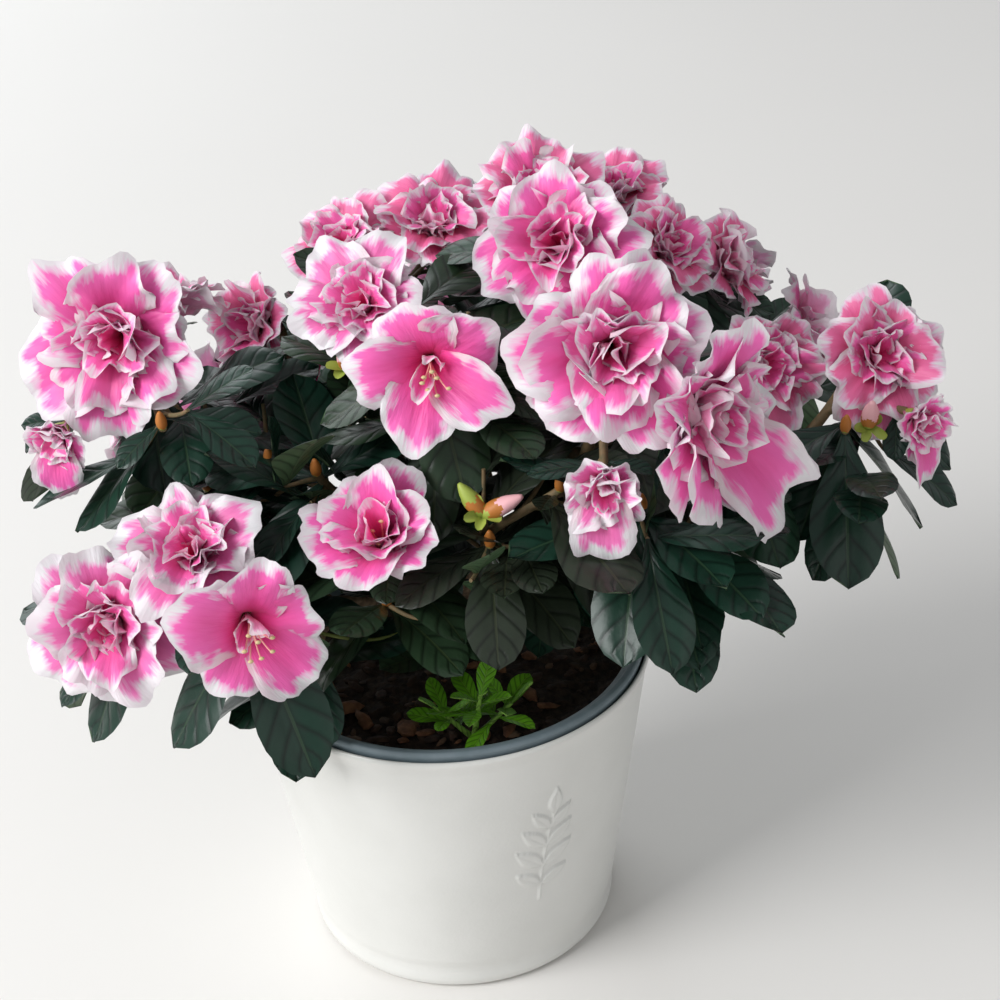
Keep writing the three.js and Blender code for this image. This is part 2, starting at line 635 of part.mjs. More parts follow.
export default group;
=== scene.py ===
import math
import bpy
import numpy as np
from mathutils import Matrix


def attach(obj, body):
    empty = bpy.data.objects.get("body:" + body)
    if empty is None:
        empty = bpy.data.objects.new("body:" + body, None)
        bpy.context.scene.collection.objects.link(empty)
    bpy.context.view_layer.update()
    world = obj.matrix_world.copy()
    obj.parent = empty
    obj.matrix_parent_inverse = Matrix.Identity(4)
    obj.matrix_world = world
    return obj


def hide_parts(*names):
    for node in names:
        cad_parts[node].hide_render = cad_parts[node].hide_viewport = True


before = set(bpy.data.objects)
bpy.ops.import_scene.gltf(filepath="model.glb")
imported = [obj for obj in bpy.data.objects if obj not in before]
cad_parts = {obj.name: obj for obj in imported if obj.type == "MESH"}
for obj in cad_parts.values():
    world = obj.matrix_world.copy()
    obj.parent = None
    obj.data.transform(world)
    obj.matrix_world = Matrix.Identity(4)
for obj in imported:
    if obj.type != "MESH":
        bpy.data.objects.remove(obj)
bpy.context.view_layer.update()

millimetre = 0.001
sharpFrom = 75   # degrees between faces, past which an edge is shaded sharp
tileMargin = 0.03
fullTurn = 2 * np.pi
goldenTurn = 137.5
upward = np.array([0.0, 0.0, 1.0])

# The source's own measures, which the growth rule works with
planter = dict(height=112, rim=70, foot=54, wall=1, floor=1.4, band=9, bead=0.9, edge=2.2)
liner = dict(top=114.6, lip=68.7, lipWidth=5.4, lipDrop=8, step=1.6, wall=1.8, floor=2)
soil = dict(level=103, mound=2.4, hollow=1.2)
gap = 0.35
trunkForm = dict(foot=(0, 7, 103.35), top=(3, 2, 131), base=5.4, tip=4, flare=3.4)
limbForm = dict(base=3, tip=1.9, flare=0, side=0.8, bow=0.38, climb=0.5)
stemForm = dict(base=2, tip=1.4, bow=0.36, climb=0.3)
twigForm = dict(base=1.6, tip=1.3, bow=0.3, first=0.42, step=0.16, last=0.8)
leafForm = dict(wide=0.265, stalk=0.6, sag=0.1, length=43, spread=8)
bloomForm = dict(depth=0.23, tube=0.2, budLong=13, budRoom=26)
bloomBall = dict(wide=0.52, deep=0.17, low=0.14, before=0.5)
whorl = dict(ownFirst=2, first=3, step=1.7, lowest=0.12, rise=0.15, riseSpread=0.4, droop=0.25)
crownForm = dict(beyondHeads=46, out=0.42, near=1.4, up=0.1)
sillForm = dict(left=-30, right=60, back=10, front=-60, height=142, slope=0.71)
potRoom = dict(inside=8, soil=1.5, lip=1.8, beside=1.5)
ruleRooms = (3.8, 2.7, 0.7)   # from leaves of its own spray, from other leaves, from wood
nearby = dict(leaf=50, wood=30)   # only what is nearer than this is measured
leafTries = [(0, 0), (16, 0), (-16, 0), (0, 18), (0, -18), (32, 8), (-32, 8), (24, -24), (-24, -24),
             (50, -6), (-50, -6), (0, -40)]   # turns sideways and up, in degrees

limbs = [   # name, parent, way along the parent, spray at its tip
    ("top_bough", "trunk", 0.97, "high_crown"),
    ("front_bough", "trunk", 0.86, "front_crest"),
    ("right_bough", "trunk", 0.74, "right_end"),
    ("left_bough", "trunk", 0.8, "left_end"),
    ("back_bough", "trunk", 0.7, "back_middle"),
    ("low_left_bough", "trunk", 0.5, "low_left"),
    ("back_right_bough", "trunk", 0.55, "back_right"),
    ("back_left_bough", "trunk", 0.5, "back_left"),
    ("right_middle_branch", "right_bough", 0.62, "right_middle"),
    ("high_right_branch", "right_bough", 0.4, "high_right"),
    ("centre_branch", "top_bough", 0.5, "centre_front"),
    ("left_top_branch", "left_bough", 0.3, "left_top"),
    ("high_left_branch", "back_bough", 0.42, "high_left"),
    ("left_middle_branch", "left_bough", 0.55, "left_middle"),
    ("low_front_branch", "low_left_bough", 0.52, "low_front"),
    ("low_centre_branch", "low_left_bough", 0.3, "low_centre"),
    ("shoot_branch", "front_bough", 0.3, "front_shoots"),
    ("low_right_branch", "front_bough", 0.45, "low_right"),
    ("right_side_branch", "right_bough", 0.3, "right_side"),
    ("left_side_branch", "left_bough", 0.42, "left_side"),
    ("inner_left_branch", "left_bough", 0.2, "inner_left"),
    ("inner_right_branch", "front_bough", 0.62, "inner_right"),
]


def flower(at, faces, size, ring, leaves=(), form="double", tint=0, buds=0, leans=()):
    return dict(at=at, faces=faces, size=size, ring=ring, leaves=leaves, form=form, tint=tint, buds=buds,
                leans=leans)


def budded(at, faces, buds, ring=0, leaves=(), leans=((0, 65),)):
    return flower(at, faces, 0, ring, leaves, "", 0, buds, leans)


def leafy(at, ring, leaves=()):
    return flower(at, None, 0, ring, leaves, "")


# Each spray: seed, foot and hub of its stem, leaf tint, heads. Places and headings are the source's.
sprays = {
    "front_crest": (11, (42, -32, 190), (49, -43, 204), 0, [
        flower((55, -74, 257), (0, 20), 59, 5),
        flower((86, -78, 236), (46, 0), 52, 4, [(40, -22, 44)], "skirted"),
        flower((50, -84, 215), (-6, 0), 36, 2, [(-66, -12, 43)], "tuft", 1)]),
    "high_crown": (23, (33, 6, 204), (36, 8, 219), 1, [
        flower((40, -6, 264), (-20, 40), 54, 6), flower((38, 28, 271), (0, 72), 46, 6, tint=2)]),
    "high_right": (31, (70, 28, 196), (80, 35, 210), 1, [
        flower((64, 52, 258), (0, 70), 38, 5, tint=2), flower((83, 26, 246), (50, 45), 38, 4, tint=2),
        flower((107, 46, 230), (75, 30), 38, 5, tint=2)]),
    "right_middle": (47, (86, -3, 186), (96, -4, 198), 1, [
        flower((113, 6, 210), (26, 25), 41, 5, tint=2)]),
    "right_end": (53, (117, -2, 182), (129, -4, 192), 0, [
        flower((146, -9, 219), (14, 28), 47, 4, tint=2),
        flower((157, -30, 202), (30, -5), 30, 2, form="tuft"),
        leafy((131, -22, 199), 3, [(-5, -44, 48), (62, -34, 43), (-30, -14, 36)]),
        budded((139, -31, 203), (0, 20), 1)]),
    "centre_front": (61, (5, -14, 197), (4, -20, 211), 2, [
        flower((2, -52, 243), (0, 15), 46, 4, form="open"),
        leafy((5, -36, 219), 4, [(-7, -22, 38), (30, 2, 38), (-60, -14, 40)])]),
    "left_top": (73, (-13, -1, 202), (-16, -4, 216), 2, [
        flower((-20, -21, 255), (-20, 50), 42, 3, tint=1),
        leafy((-23, -17, 233), 3, [(-40, -26, 42), (-62, 8, 40)]),
        budded((-28, -24, 236), (-20, 45), 1)]),
    "high_left": (83, (-9, 28, 202), (-12, 35, 216), 1, [
        flower((-28, 42, 248), (-30, 60), 38, 5, tint=2), flower((4, 46, 253), (10, 65), 42, 5, tint=2)]),
    "left_end": (97, (-73, -5, 195), (-84, -6, 205), 0, [
        flower((-98, -18, 242), (-10, 20), 58, 5), flower((-84, 31, 237), (165, 55), 38, 4, tint=2),
        flower((-117, -34, 214), (-18, -10), 28, 2, form="tuft"),
        leafy((-83, -26, 215), 3, [(-36, -46, 41), (57, -40, 38), (84, -4, 32)])]),
    "left_middle": (103, (-45, 20, 186), (-54, 24, 197), 1, [
        flower((-62, 33, 221), (-50, 25), 38, 5, tint=2)]),
    "low_left": (113, (-72, -32, 150), (-83, -38, 156), 0, [
        flower((-104, -65, 166), (-10, 15), 54, 5, tint=1),
        flower((-75, -58, 193), (-10, 58), 46, 5, tint=1)]),
    "low_front": (127, (-42, -43, 147), (-49, -53, 155), 0, [
        flower((-53, -90, 178), (15, 12), 46, 4, [(-50, -30, 50), (36, -40, 50)], "open")]),
    "low_centre": (131, (-13, -35, 148), (-16, -45, 161), 2, [
        flower((-17, -64, 199), (-16, 62), 47, 4, form="cup"),
        leafy((-16, -58, 166), 4, [(42, -8, 34), (-40, 20, 34)])]),
    "front_shoots": (149, (14, -35, 162), (17, -45, 176), 3, [
        budded((17, -71, 207), (10, 40), 2, 2, leans=((-110, 52), (85, 24))),
        leafy((17, -62, 188), 4, [(2, -32, 37), (-60, -24, 34)]),
        leafy((39, -58, 204), 3, [(-30, -18, 38), (4, -30, 40)])]),
    "low_right": (157, (50, -35, 160), (60, -44, 175), 0, [
        leafy((63, -62, 198), 3, [(-14, -34, 46), (34, -20, 40)]),
        leafy((76, -58, 184), 3, [(33, -4, 38), (8, -24, 36)])]),
    "back_right": (167, (80, 58, 174), (92, 70, 185), 1, [
        flower((104, 96, 210), (150, 35), 50, 5), flower((138, 58, 196), (100, 20), 46, 5, tint=1),
        leafy((112, 92, 170), 5)]),
    "back_middle": (179, (24, 60, 180), (29, 74, 193), 0, [
        flower((32, 106, 226), (175, 40), 52, 5, tint=1),
        flower((62, 112, 198), (160, 15), 46, 4, form="open"),
        flower((0, 112, 194), (-165, 20), 46, 4)]),
    "back_left": (191, (-36, 46, 162), (-46, 58, 171), 1, [
        flower((-50, 88, 190), (-165, 35), 50, 5), flower((-84, 69, 180), (-120, 20), 46, 5, tint=1),
        leafy((-20, 88, 158), 5)]),
    "right_side": (199, (60, 8, 156), (70, 12, 164), 2, [
        flower((97, 32, 173), (95, 12), 42, 5), leafy((86, 2, 168), 5)]),
    "left_side": (211, (-50, 12, 158), (-60, 16, 166), 2, [
        flower((-103, 27, 194), (-105, 15), 42, 5), leafy((-78, 12, 170), 5)]),
    "inner_left": (223, (-22, -14, 170), (-27, -20, 179), 0, [
        leafy((-36, -34, 200), 5), leafy((-10, -34, 190), 4), leafy((-52, -18, 196), 5)]),
    "inner_right": (227, (38, -14, 180), (42, -14, 188), 3, [
        leafy((62, -22, 206), 5), leafy((28, -30, 196), 5)]),
}
sprayNodes = [name + "_spray" for name in sprays]


# Vectors lie along the last axis of every array
def unit(vectors):
    return vectors / np.maximum(np.linalg.norm(vectors, axis=-1, keepdims=True), 1e-9)


def smoothstep(low, high, value):
    share = np.clip((value - low) / (high - low), 0, 1)
    return share * share * (3 - 2 * share)


def circle(count):
    return np.linspace(0, fullTurn, count, endpoint=False)


# A direction from its azimuth, 0 to the front and 90 to the right, and its elevation
def heading(angles):
    azimuth, elevation = np.radians(angles[0]), np.radians(angles[1])
    flat = np.cos(elevation)
    return np.array([np.sin(azimuth) * flat, -np.cos(azimuth) * flat, np.sin(elevation)])


# Two directions square to the given ones: across = direction x up (x the x axis where it is steep),
# normal = across x direction
def framed(direction):
    side = np.where(np.abs(direction[..., 2:3]) > 0.9, np.array([1.0, 0.0, 0.0]), upward)
    across = unit(np.cross(direction, side))
    return across, np.cross(across, direction)


# The direction at an angle between such a pair: across cos(angle) + normal sin(angle)
def spoke(pair, angle):
    return pair[0] * np.cos(angle) + pair[1] * np.sin(angle)


# The source's numbers from 0 to 1: state = state * 16807 modulo 2^31 - 1
def seeded(seed):
    state = [seed]

    def draw():
        state[0] = state[0] * 16807 % 2147483647
        return state[0] / 2147483647
    return draw


# Lattice noise from -0.5 to 0.5: corner values at random, blended by smooth steps, repeating along a
def valueNoise(a, b, seed, wrap=64):
    table = np.random.default_rng(seed).random((wrap, 64))
    cellA, cellB = np.floor(a).astype(int), np.floor(b).astype(int)
    shareA, shareB = smoothstep(0, 1, a - cellA), smoothstep(0, 1, b - cellB)
    low, high = (table[cellA % wrap, (cellB + j) % 64] * (1 - shareA)
                 + table[(cellA + 1) % wrap, (cellB + j) % 64] * shareA for j in (0, 1))
    return low * (1 - shareB) + high * shareB - 0.5


# A Bezier curve: its control points weighted by comb(n, k) t^k (1 - t)^(n - k), with a table of its length
def bezier(*controls):
    t, top = np.linspace(0, 1, 201)[:, None], len(controls) - 1
    weights = np.hstack([math.comb(top, k) * t ** k * (1 - t) ** (top - k) for k in range(top + 1)])
    points = weights @ np.array(controls, float)
    run = np.concatenate([[0], np.cumsum(np.linalg.norm(np.diff(points, axis=0), axis=1))])
    return dict(points=points, run=run / run[-1], length=run[-1])


def pointAt(curve, way):
    return np.stack([np.interp(way, curve["run"], curve["points"][:, k]) for k in range(3)], -1)


def tangentAt(curve, way):
    return unit(pointAt(curve, np.minimum(way + 0.004, 1)) - pointAt(curve, np.maximum(way - 0.004, 0)))


# A curve that leaves and arrives in given directions, its handles a share of the span long
def route(start, leaving, end, arriving, bow):
    span = np.linalg.norm(end - start) * bow
    return bezier(start, start + leaving * span, end - arriving * span, end)


# Repeats one body's faces for all bodies
def packed(points, each, place, slots):
    count, perBody = points.shape[:2]
    faces = np.where(each < 0, -1, each + (np.arange(count) * perBody)[:, None, None]).reshape(-1, 4)
    return dict(points=points.reshape(-1, 3), faces=faces, place=np.tile(place, (count, 1, 1)), slots=slots)


# Closed rings: points[body, ring, side] joined by quads, and fans to a low and a high end point
def ringed(rings, low, high, slot=0):
    count, rows, sides = rings.shape[:3]
    ring, side = np.meshgrid(np.arange(rows - 1), np.arange(sides), indexing="ij")
    start, after, k = ring * sides, (side + 1) % sides, np.arange(sides)
    quads = np.stack([start + side, start + after, start + sides + after, start + sides + side], -1)
    top, end = (rows - 1) * sides, rows * sides
    fans = [np.stack(np.broadcast_arrays(*corners, -1), -1)
            for corners in ((end, (k + 1) % sides, k), (end + 1, top + k, top + (k + 1) % sides))]
    turn = np.stack([side, side + 1, side + 1, side], -1).reshape(-1, 4) / sides
    way = np.stack([ring, ring, ring + 1, ring + 1], -1).reshape(-1, 4) / (rows - 1)
    fanTurn, fanWay = np.stack([k + 0.5, k + 1, k, k], -1) / sides, np.zeros((sides, 4))
    place = np.stack([np.concatenate([turn, fanTurn, fanTurn]),
                      np.concatenate([way, fanWay, fanWay + 1])], -1)
    each = np.concatenate([quads.reshape(-1, 4), *fans])
    points = np.concatenate([rings.reshape(count, -1, 3), low[:, None], high[:, None]], 1)
    return packed(points, each, place, np.full(len(each) * count, slot))


# Thin closed blades: the front points[body, row, column] and a back moved against the front's normal
# by the thickness. Front and back share the rim.
def sheeted(front, thick, frontSlot, backSlot):
    count, rows, columns = front.shape[:3]
    normal = unit(np.cross(np.gradient(front, axis=2), np.gradient(front, axis=1)))
    back = (front - normal * thick)[:, 1:-1, 1:-1]
    frontPlace = np.arange(rows * columns).reshape(rows, columns)
    backPlace = frontPlace.copy()
    backPlace[1:-1, 1:-1] = rows * columns + np.arange((rows - 2) * (columns - 2)).reshape(rows - 2, -1)
    uv = np.stack(np.meshgrid(np.linspace(0, 1, columns), np.linspace(0, 1, rows)), -1)

    def quads(grid):
        return np.stack([grid[:-1, :-1], grid[:-1, 1:], grid[1:, 1:], grid[1:, :-1]], 2)
    over = [0, 3, 2, 1]   # turns a quad over and keeps the diagonal that it is split along
    corners = quads(uv).reshape(-1, 4, 2)
    each = np.concatenate([quads(frontPlace).reshape(-1, 4), quads(backPlace).reshape(-1, 4)[:, over]])
    points = np.concatenate([front.reshape(count, -1, 3), back.reshape(count, -1, 3)], 1)
    slots = np.stack([np.broadcast_to(slot, count) for slot in (frontSlot, backSlot)], 1)
    return packed(points, each, np.concatenate([corners, corners[:, over]]),
                  np.repeat(slots, len(corners), axis=1).ravel())


# A rod along a curve: C(way) + radius(way, angle) (A cos(angle) + B sin(angle)), A and B square to the curve
def rod(curve, radius, sides, steps, slot=0):
    way = np.linspace(0, 1, steps + 1)
    middle, along = pointAt(curve, way), tangentAt(curve, way)
    aside = np.eye(3)[np.argmin(np.abs(unit(middle[-1] - middle[0])))]
    first = unit(np.cross(aside, along))
    pair, angle = (first[:, None], np.cross(along, first)[:, None]), circle(sides)[None, :, None]
    rings = middle[:, None] + radius(way[:, None], angle[..., 0])[..., None] * spoke(pair, angle)
    return ringed(rings[None], middle[:1], middle[-1:], slot)


def taper(form):
    return lambda way, angle: form["base"] + (form["tip"] - form["base"]) * way + 0 * angle


# Joins parts into one mesh. "blade" is each face's place on its own leaf or petal, and the bake's map
# gives every finish a tile of its own, in which like blades lie on each other.
def makePiece(name, parts, finishes, nodes, tiled=False):
    starts = np.cumsum([0] + [len(part["points"]) for part in parts])
    faces = np.concatenate([np.where(part["faces"] < 0, -1, part["faces"] + start)
                            for part, start in zip(parts, starts)])
    points, place, slots = (np.concatenate([part[key] for part in parts])
                            for key in ("points", "place", "slots"))
    used = faces >= 0
    counts = used.sum(1)
    mesh = bpy.data.meshes.new(name)
    mesh.vertices.add(len(points))
    mesh.vertices.foreach_set("co", (points * millimetre).ravel())
    mesh.loops.add(int(counts.sum()))
    mesh.loops.foreach_set("vertex_index", faces[used].astype(np.int32))
    mesh.polygons.add(len(faces))
    mesh.polygons.foreach_set("loop_start", (np.cumsum(counts) - counts).astype(np.int32))
    for finish in finishes:
        mesh.materials.append(finish)
    mesh.polygons.foreach_set("material_index", slots.astype(np.int32))
    mesh.polygons.foreach_set("use_smooth", np.ones(len(faces), bool))
    mesh.uv_layers.new(name="blade").data.foreach_set("uv", place[used].ravel())
    if tiled:
        across = math.ceil(math.sqrt(len(finishes)))
        corner = np.stack([slots % across, slots // across], -1)[:, None]
        tiles = (across, math.ceil(len(finishes) / across))
        tile = (corner + tileMargin + (1 - 2 * tileMargin) * place) / tiles
        mesh.uv_layers.new(name="OFBake").data.foreach_set("uv", tile[used].ravel())
    mesh.update(calc_edges=True)
    mesh.validate()
    mesh.set_sharp_from_angle(angle=math.radians(sharpFrom))
    piece = bpy.data.objects.new(name, mesh)
    bpy.context.scene.collection.objects.link(piece)
    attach(piece, "root")
    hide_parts(*nodes)
    print("made", name, len(points), "points", int((counts - 2).sum()), "triangles")


# Growth. The calyx lies behind a bloom's face by the depth of its funnel and tube.
def calyxOf(head):
    at = np.array(head["at"], float)
    if not head["faces"]:
        return at
    back = head["size"] * (bloomForm["depth"] + bloomForm["tube"]) + bool(head["buds"]) * bloomForm["budLong"]
    return at - heading(head["faces"]) * back


# A stem or twig arrives half outwards and half as its head faces
def arrivalAt(head, start):
    outward = unit(calyxOf(head) - start)
    facing = heading(head["faces"]) if head["faces"] else outward
    return unit(outward + facing + upward * stemForm["climb"])


def sprayCurves(foot, hub, heads):
    arriving = arrivalAt(heads[0], hub)
    stem = route(foot, unit(hub - foot), calyxOf(heads[0]) + arriving, arriving, stemForm["bow"])
    curves = [stem]
    for index, head in enumerate(heads[1:]):
        way = min(twigForm["first"] + twigForm["step"] * index, twigForm["last"])
        start = pointAt(stem, way)
        arriving = arrivalAt(head, start)
        end = calyxOf(head) + arriving
        leaving = unit(unit(end - start) + tangentAt(stem, way))
        curves.append(route(start, leaving, end, arriving, twigForm["bow"]))
    return curves


# The leaves that the source's rule asks of a head: root, heading, length, and whether the head names it.
# A whorl turns by the golden angle down the twig.
def leavesOf(head, curve, draw):
    def rootAt(back):
        return pointAt(curve, max(whorl["lowest"], 1 - back / curve["length"]))
    asked = [(rootAt(whorl["ownFirst"] + whorl["step"] * k), heading(own[:2]), own[2], True)
             for k, own in enumerate(head["leaves"])]
    own, tip = len(asked), tangentAt(curve, 1.0)
    pair, turn = framed(tip), draw() * 360
    for k in range(own, own + head["ring"]):
        length = leafForm["length"] + leafForm["spread"] * (draw() - 0.6)
        rise = whorl["rise"] + whorl["riseSpread"] * draw()
        along = unit(spoke(pair, math.radians(turn)) + tip * rise - upward * whorl["droop"])
        asked.append((rootAt(whorl["first"] + whorl["step"] * k), along, length, False))
        turn += goldenTurn
    return asked


# Places on a blade: the middle line root + along L w - up sag L w^2, out to shares of its half width
def leafMarks(root, along, length):
    way = np.array([0.3, 0.42, 0.54, 0.66, 0.78, 0.9, 1])[:, None, None]
    side = np.array([-0.9, -0.45, 0, 0.45, 0.9])[None, :, None] * (way < 1)
    half = np.maximum(leafForm["stalk"], leafForm["wide"] * length * np.sin(np.pi * way ** 1.15))
    middle = root + along * length * way - upward * leafForm["sag"] * length * way ** 2
    return (middle + framed(along)[0] * side * half).reshape(-1, 3)


# A heading turned about the upright by the first angle and lifted by the sine of the second
def turnedBy(along, sideways, lift):
    c, s = math.cos(math.radians(sideways)), math.sin(math.radians(sideways))
    x, y, z = along
    return unit(np.array([c * x - s * y, s * x + c * y, z + math.sin(math.radians(lift))]))


standing, sticks, leaves = [], [], []   # marks of placed leaves, points of wood and their radius, leaves
bloomAt, bloomFace, bloomSize = (np.array(column, float) for column in zip(*[
    (head["at"], heading(head["faces"]), head["size"] or bloomForm["budRoom"])
    for spray in sprays.values() for head in spray[4] if head["faces"]]))


def addStick(curve, form):
    way = np.linspace(0, 1, max(4, int(curve["length"] / 2)))
    sticks.append(np.column_stack([pointAt(curve, way), form["base"] + (form["tip"] - form["base"]) * way]))


# True where no mark lies in the flattened ball of a bloom, (aside / wide size)^2
# + ((height + low size) / deep size)^2 < 1, or before its face
def offBlooms(marks):
    away = marks[:, None] - bloomAt
    height = (away * bloomFace).sum(-1)
    aside = np.linalg.norm(away - bloomFace * height[..., None], axis=-1)
    inside = (aside / (bloomSize * bloomBall["wide"])) ** 2 \
        + ((height + bloomSize * bloomBall["low"]) / (bloomSize * bloomBall["deep"])) ** 2
    before = (height > 0) & (height < bloomSize) & (aside < bloomBall["before"] * bloomSize)
    return inside.min() > 1 and not before.any()


def offPot(marks):
    aside = np.hypot(marks[:, 0], marks[:, 1])
    over = np.where(aside < liner["lip"] - potRoom["inside"], soil["level"] + potRoom["soil"],
                    liner["top"] + potRoom["lip"])
    return (marks[:, 2] > np.where(aside > planter["rim"] + potRoom["beside"], 0, over)).all()


# Keeps clear the window before the compost, whose sill falls towards the back
def offSill(marks):
    x, y, z = marks.T
    ahead = (x > sillForm["left"]) & (x < sillForm["right"]) & (y < sillForm["back"])
    return (~ahead | (z > sillForm["height"] - sillForm["slope"] * (y - sillForm["front"]))).all()


# A leaf reaches no farther out than its spray's blooms and a share of their size, and near a bloom no higher
def underBlooms(marks, heads):
    flowers = [head for head in heads if head["size"]]
    out = max((math.hypot(*head["at"][:2]) + crownForm["out"] * head["size"] for head in flowers),
              default=1e9)
    above = any(((np.linalg.norm(marks - head["at"], axis=1) < crownForm["near"] * head["size"])
                 & (marks[:, 2] - head["at"][2] > crownForm["up"] * head["size"])).any() for head in flowers)
    return np.hypot(marks[:, 0], marks[:, 1]).max() <= out and not above


# True where a leaf's marks keep within its spray and clear of blooms, pot, sill, other leaves and wood
def isClear(marks, name, rooms, asked):
    spray, middle = grown[name], marks.mean(0)
    if np.linalg.norm(marks - spray["hub"], axis=1).max() > spray["far"] \
            or not offBlooms(marks) or not offPot(marks) \
            or not asked and not (underBlooms(marks, spray["heads"]) and offSill(marks)):
        return False
    for own, room in ((True, rooms[0]), (False, rooms[1])):
        near = [theirs for their, at, theirs in standing
                if (their == name) == own and abs(at - middle).max() < nearby["leaf"]]
        if near and np.linalg.norm(marks[:, None] - np.concatenate(near), axis=-1).min() < room:
            return False
    near = [stick for stick in sticks if abs(stick[:, :3] - middle).max(1).min() < nearby["wood"]]
    wood = np.concatenate(near or sticks[:1])
    return (np.linalg.norm(marks[:, None] - wood[:, :3], axis=-1) - wood[:, 3]).min() > rooms[2]


# Tries a leaf as it is asked and then turned, and keeps the first that is clear
def placeLeaf(name, root, along, length, tries, rooms, asked=False):
    for sideways, lift in tries:
        turned = turnedBy(along, sideways, lift)
        marks = leafMarks(root, turned, length)
        if isClear(marks, name, rooms, asked):
            standing.append((name, marks.mean(0), marks))
            leaves.append((root, turned, length, grown[name]["tint"]))
            return True
    return False


# Limbs: a cubic from a place on the parent to the foot of the spray
trunkFoot, trunkTop = (np.array(trunkForm[key], float) for key in ("foot", "top"))
trunkMiddle = (*trunkFoot[:2], (trunkFoot[2] + trunkTop[2]) / 2)
limbCurves, tipCurves = {"trunk": bezier(trunkFoot, trunkMiddle, trunkTop)}, {}
addStick(limbCurves["trunk"], trunkForm)
for name, parent, way, spray in limbs:
    foot, hub = (np.array(place, float) for place in sprays[spray][1:3])
    start, arriving = pointAt(limbCurves[parent], way), unit(hub - foot)
    leaving = unit(unit(foot - start) + upward * limbForm["climb"])
    curve = route(start, leaving, foot - arriving * gap, arriving, limbForm["bow"])
    limbCurves[name] = tipCurves[spray] = curve
    addStick(curve, limbForm)

grown = {}
for name, (seed, foot, hub, tint, heads) in sprays.items():
    foot, hub, draw = np.array(foot, float), np.array(hub, float), seeded(seed)
    curves = sprayCurves(foot, hub, heads)
    for index, curve in enumerate(curves):
        addStick(curve, twigForm if index else stemForm)
    asked = [leaf for head, curve in zip(heads, curves) for leaf in leavesOf(head, curve, draw)]
    far = max(np.linalg.norm(head["at"] - hub) for head in heads) + crownForm["beyondHeads"]
    grown[name] = dict(seed=seed, tint=tint, heads=heads, curves=curves, asked=asked, hub=hub, far=far)
for turn in range(max(len(spray["asked"]) for spray in grown.values())):
    for name, spray in grown.items():
        if turn < len(spray["asked"]):
            *leaf, own = spray["asked"][turn]
            placeLeaf(name, *leaf, leafTries, ruleRooms, own)
print("leaves by the source's rule", len(leaves))


# Finer growth: a whorl down a curve, each leaf with its way along it, rise towards its tip and length
def growWhorl(name, curve, turn, growing, form):
    tip, placed = tangentAt(curve, 1.0), 0
    for j, (way, rise, length) in enumerate(growing):
        along = unit(spoke(framed(tip), turn + j * math.radians(goldenTurn)) + tip * rise)
        placed += placeLeaf(name, pointAt(curve, way), along, length, leafTries[:form["tries"]],
                            form["rooms"])
    return placed


# Side twigs with whorls of their own, and small leaves close under each head
sideForm = dict(twigWays=(0.3, 0.45, 0.6, 0.74, 0.88), limbWays=(0.5, 0.62, 0.74, 0.86, 0.97), long=(12, 24),
                lean=0.9, climb=0.4, bow=0.3, base=0.9, tip=0.6, leaves=5, step=0.06, rise=(0.2, 0.9),
                length=(24, 40), drawn=8, tries=7, rooms=(2.6, 2.5, 0.4))
underForm = dict(leaves=5, first=2, step=1.2, rise=(0.1, 0.7), length=(14, 26), tries=5, rooms=(2.2, 2.4, 0))
fineTwigs = []
for name, spray in grown.items():
    rng = np.random.default_rng(spray["seed"])
    for curve in [*spray["curves"], tipCurves[name]]:
        for way in sideForm["limbWays" if curve is tipCurves[name] else "twigWays"]:
            start, along, turn = pointAt(curve, way), tangentAt(curve, way), rng.uniform(0, fullTurn)
            out = unit(spoke(framed(along), turn) + along * sideForm["lean"])
            end = start + out * rng.uniform(*sideForm["long"])
            twig = route(start, unit(out + along), end, unit(out + upward * sideForm["climb"]),
                         sideForm["bow"])
            lengths, rises = (rng.uniform(*sideForm[key], sideForm["drawn"]) for key in ("length", "rise"))
            ways = 1 - sideForm["step"] * np.arange(sideForm["leaves"])
            if offBlooms(pointAt(twig, np.linspace(0.5, 1, 6))) \
                    and growWhorl(name, twig, turn, zip(ways, rises, lengths), sideForm):
                fineTwigs.append(twig)
                addStick(twig, sideForm)
    for curve in spray["curves"]:
        turn = rng.uniform(0, fullTurn)
        growing = [(1 - (underForm["first"] + underForm["step"] * j) / curve["length"],
                    rng.uniform(*underForm["rise"]), rng.uniform(*underForm["length"]))
                   for j in range(underForm["leaves"])]
        growWhorl(name, curve, turn, growing, underForm)
print("leaves in all", len(leaves), "fine twigs", len(fineTwigs))


# Materials. Plain values are set on the shader's own sockets.
def newFinish(name, colour, roughness, **sockets):
    material = bpy.data.materials.new(name)
    material.use_nodes = True
    shader = material.node_tree.nodes["Principled BSDF"]
    for socket, value in dict(sockets, Base_Color=(*colour, 1), Roughness=roughness).items():
        shader.inputs[socket.replace("_", " ")].default_value = value
    return material, shader


def wire(shader, output, socket):
    shader.id_data.links.new(output, shader.inputs[socket])


def node(shader, kind, inputs, output=0, **settings):
    made = shader.id_data.nodes.new("ShaderNode" + kind)
    for key, value in settings.items():
        setattr(made, key, value)
    for key, value in inputs.items():
        if isinstance(value, bpy.types.NodeSocket):
            shader.id_data.links.new(value, made.inputs[key])
        else:
            made.inputs[key].default_value = (*value, 1) if isinstance(value, tuple) else value
    return made.outputs[output]


def calc(shader, operation, a, b=0.0, c=0.0):
    return node(shader, "Math", {0: a, 1: b, 2: c}, operation=operation)


def blend(shader, share, a, b):
    return node(shader, "Mix", {0: share, 6: a, 7: b}, output=2, data_type="RGBA")


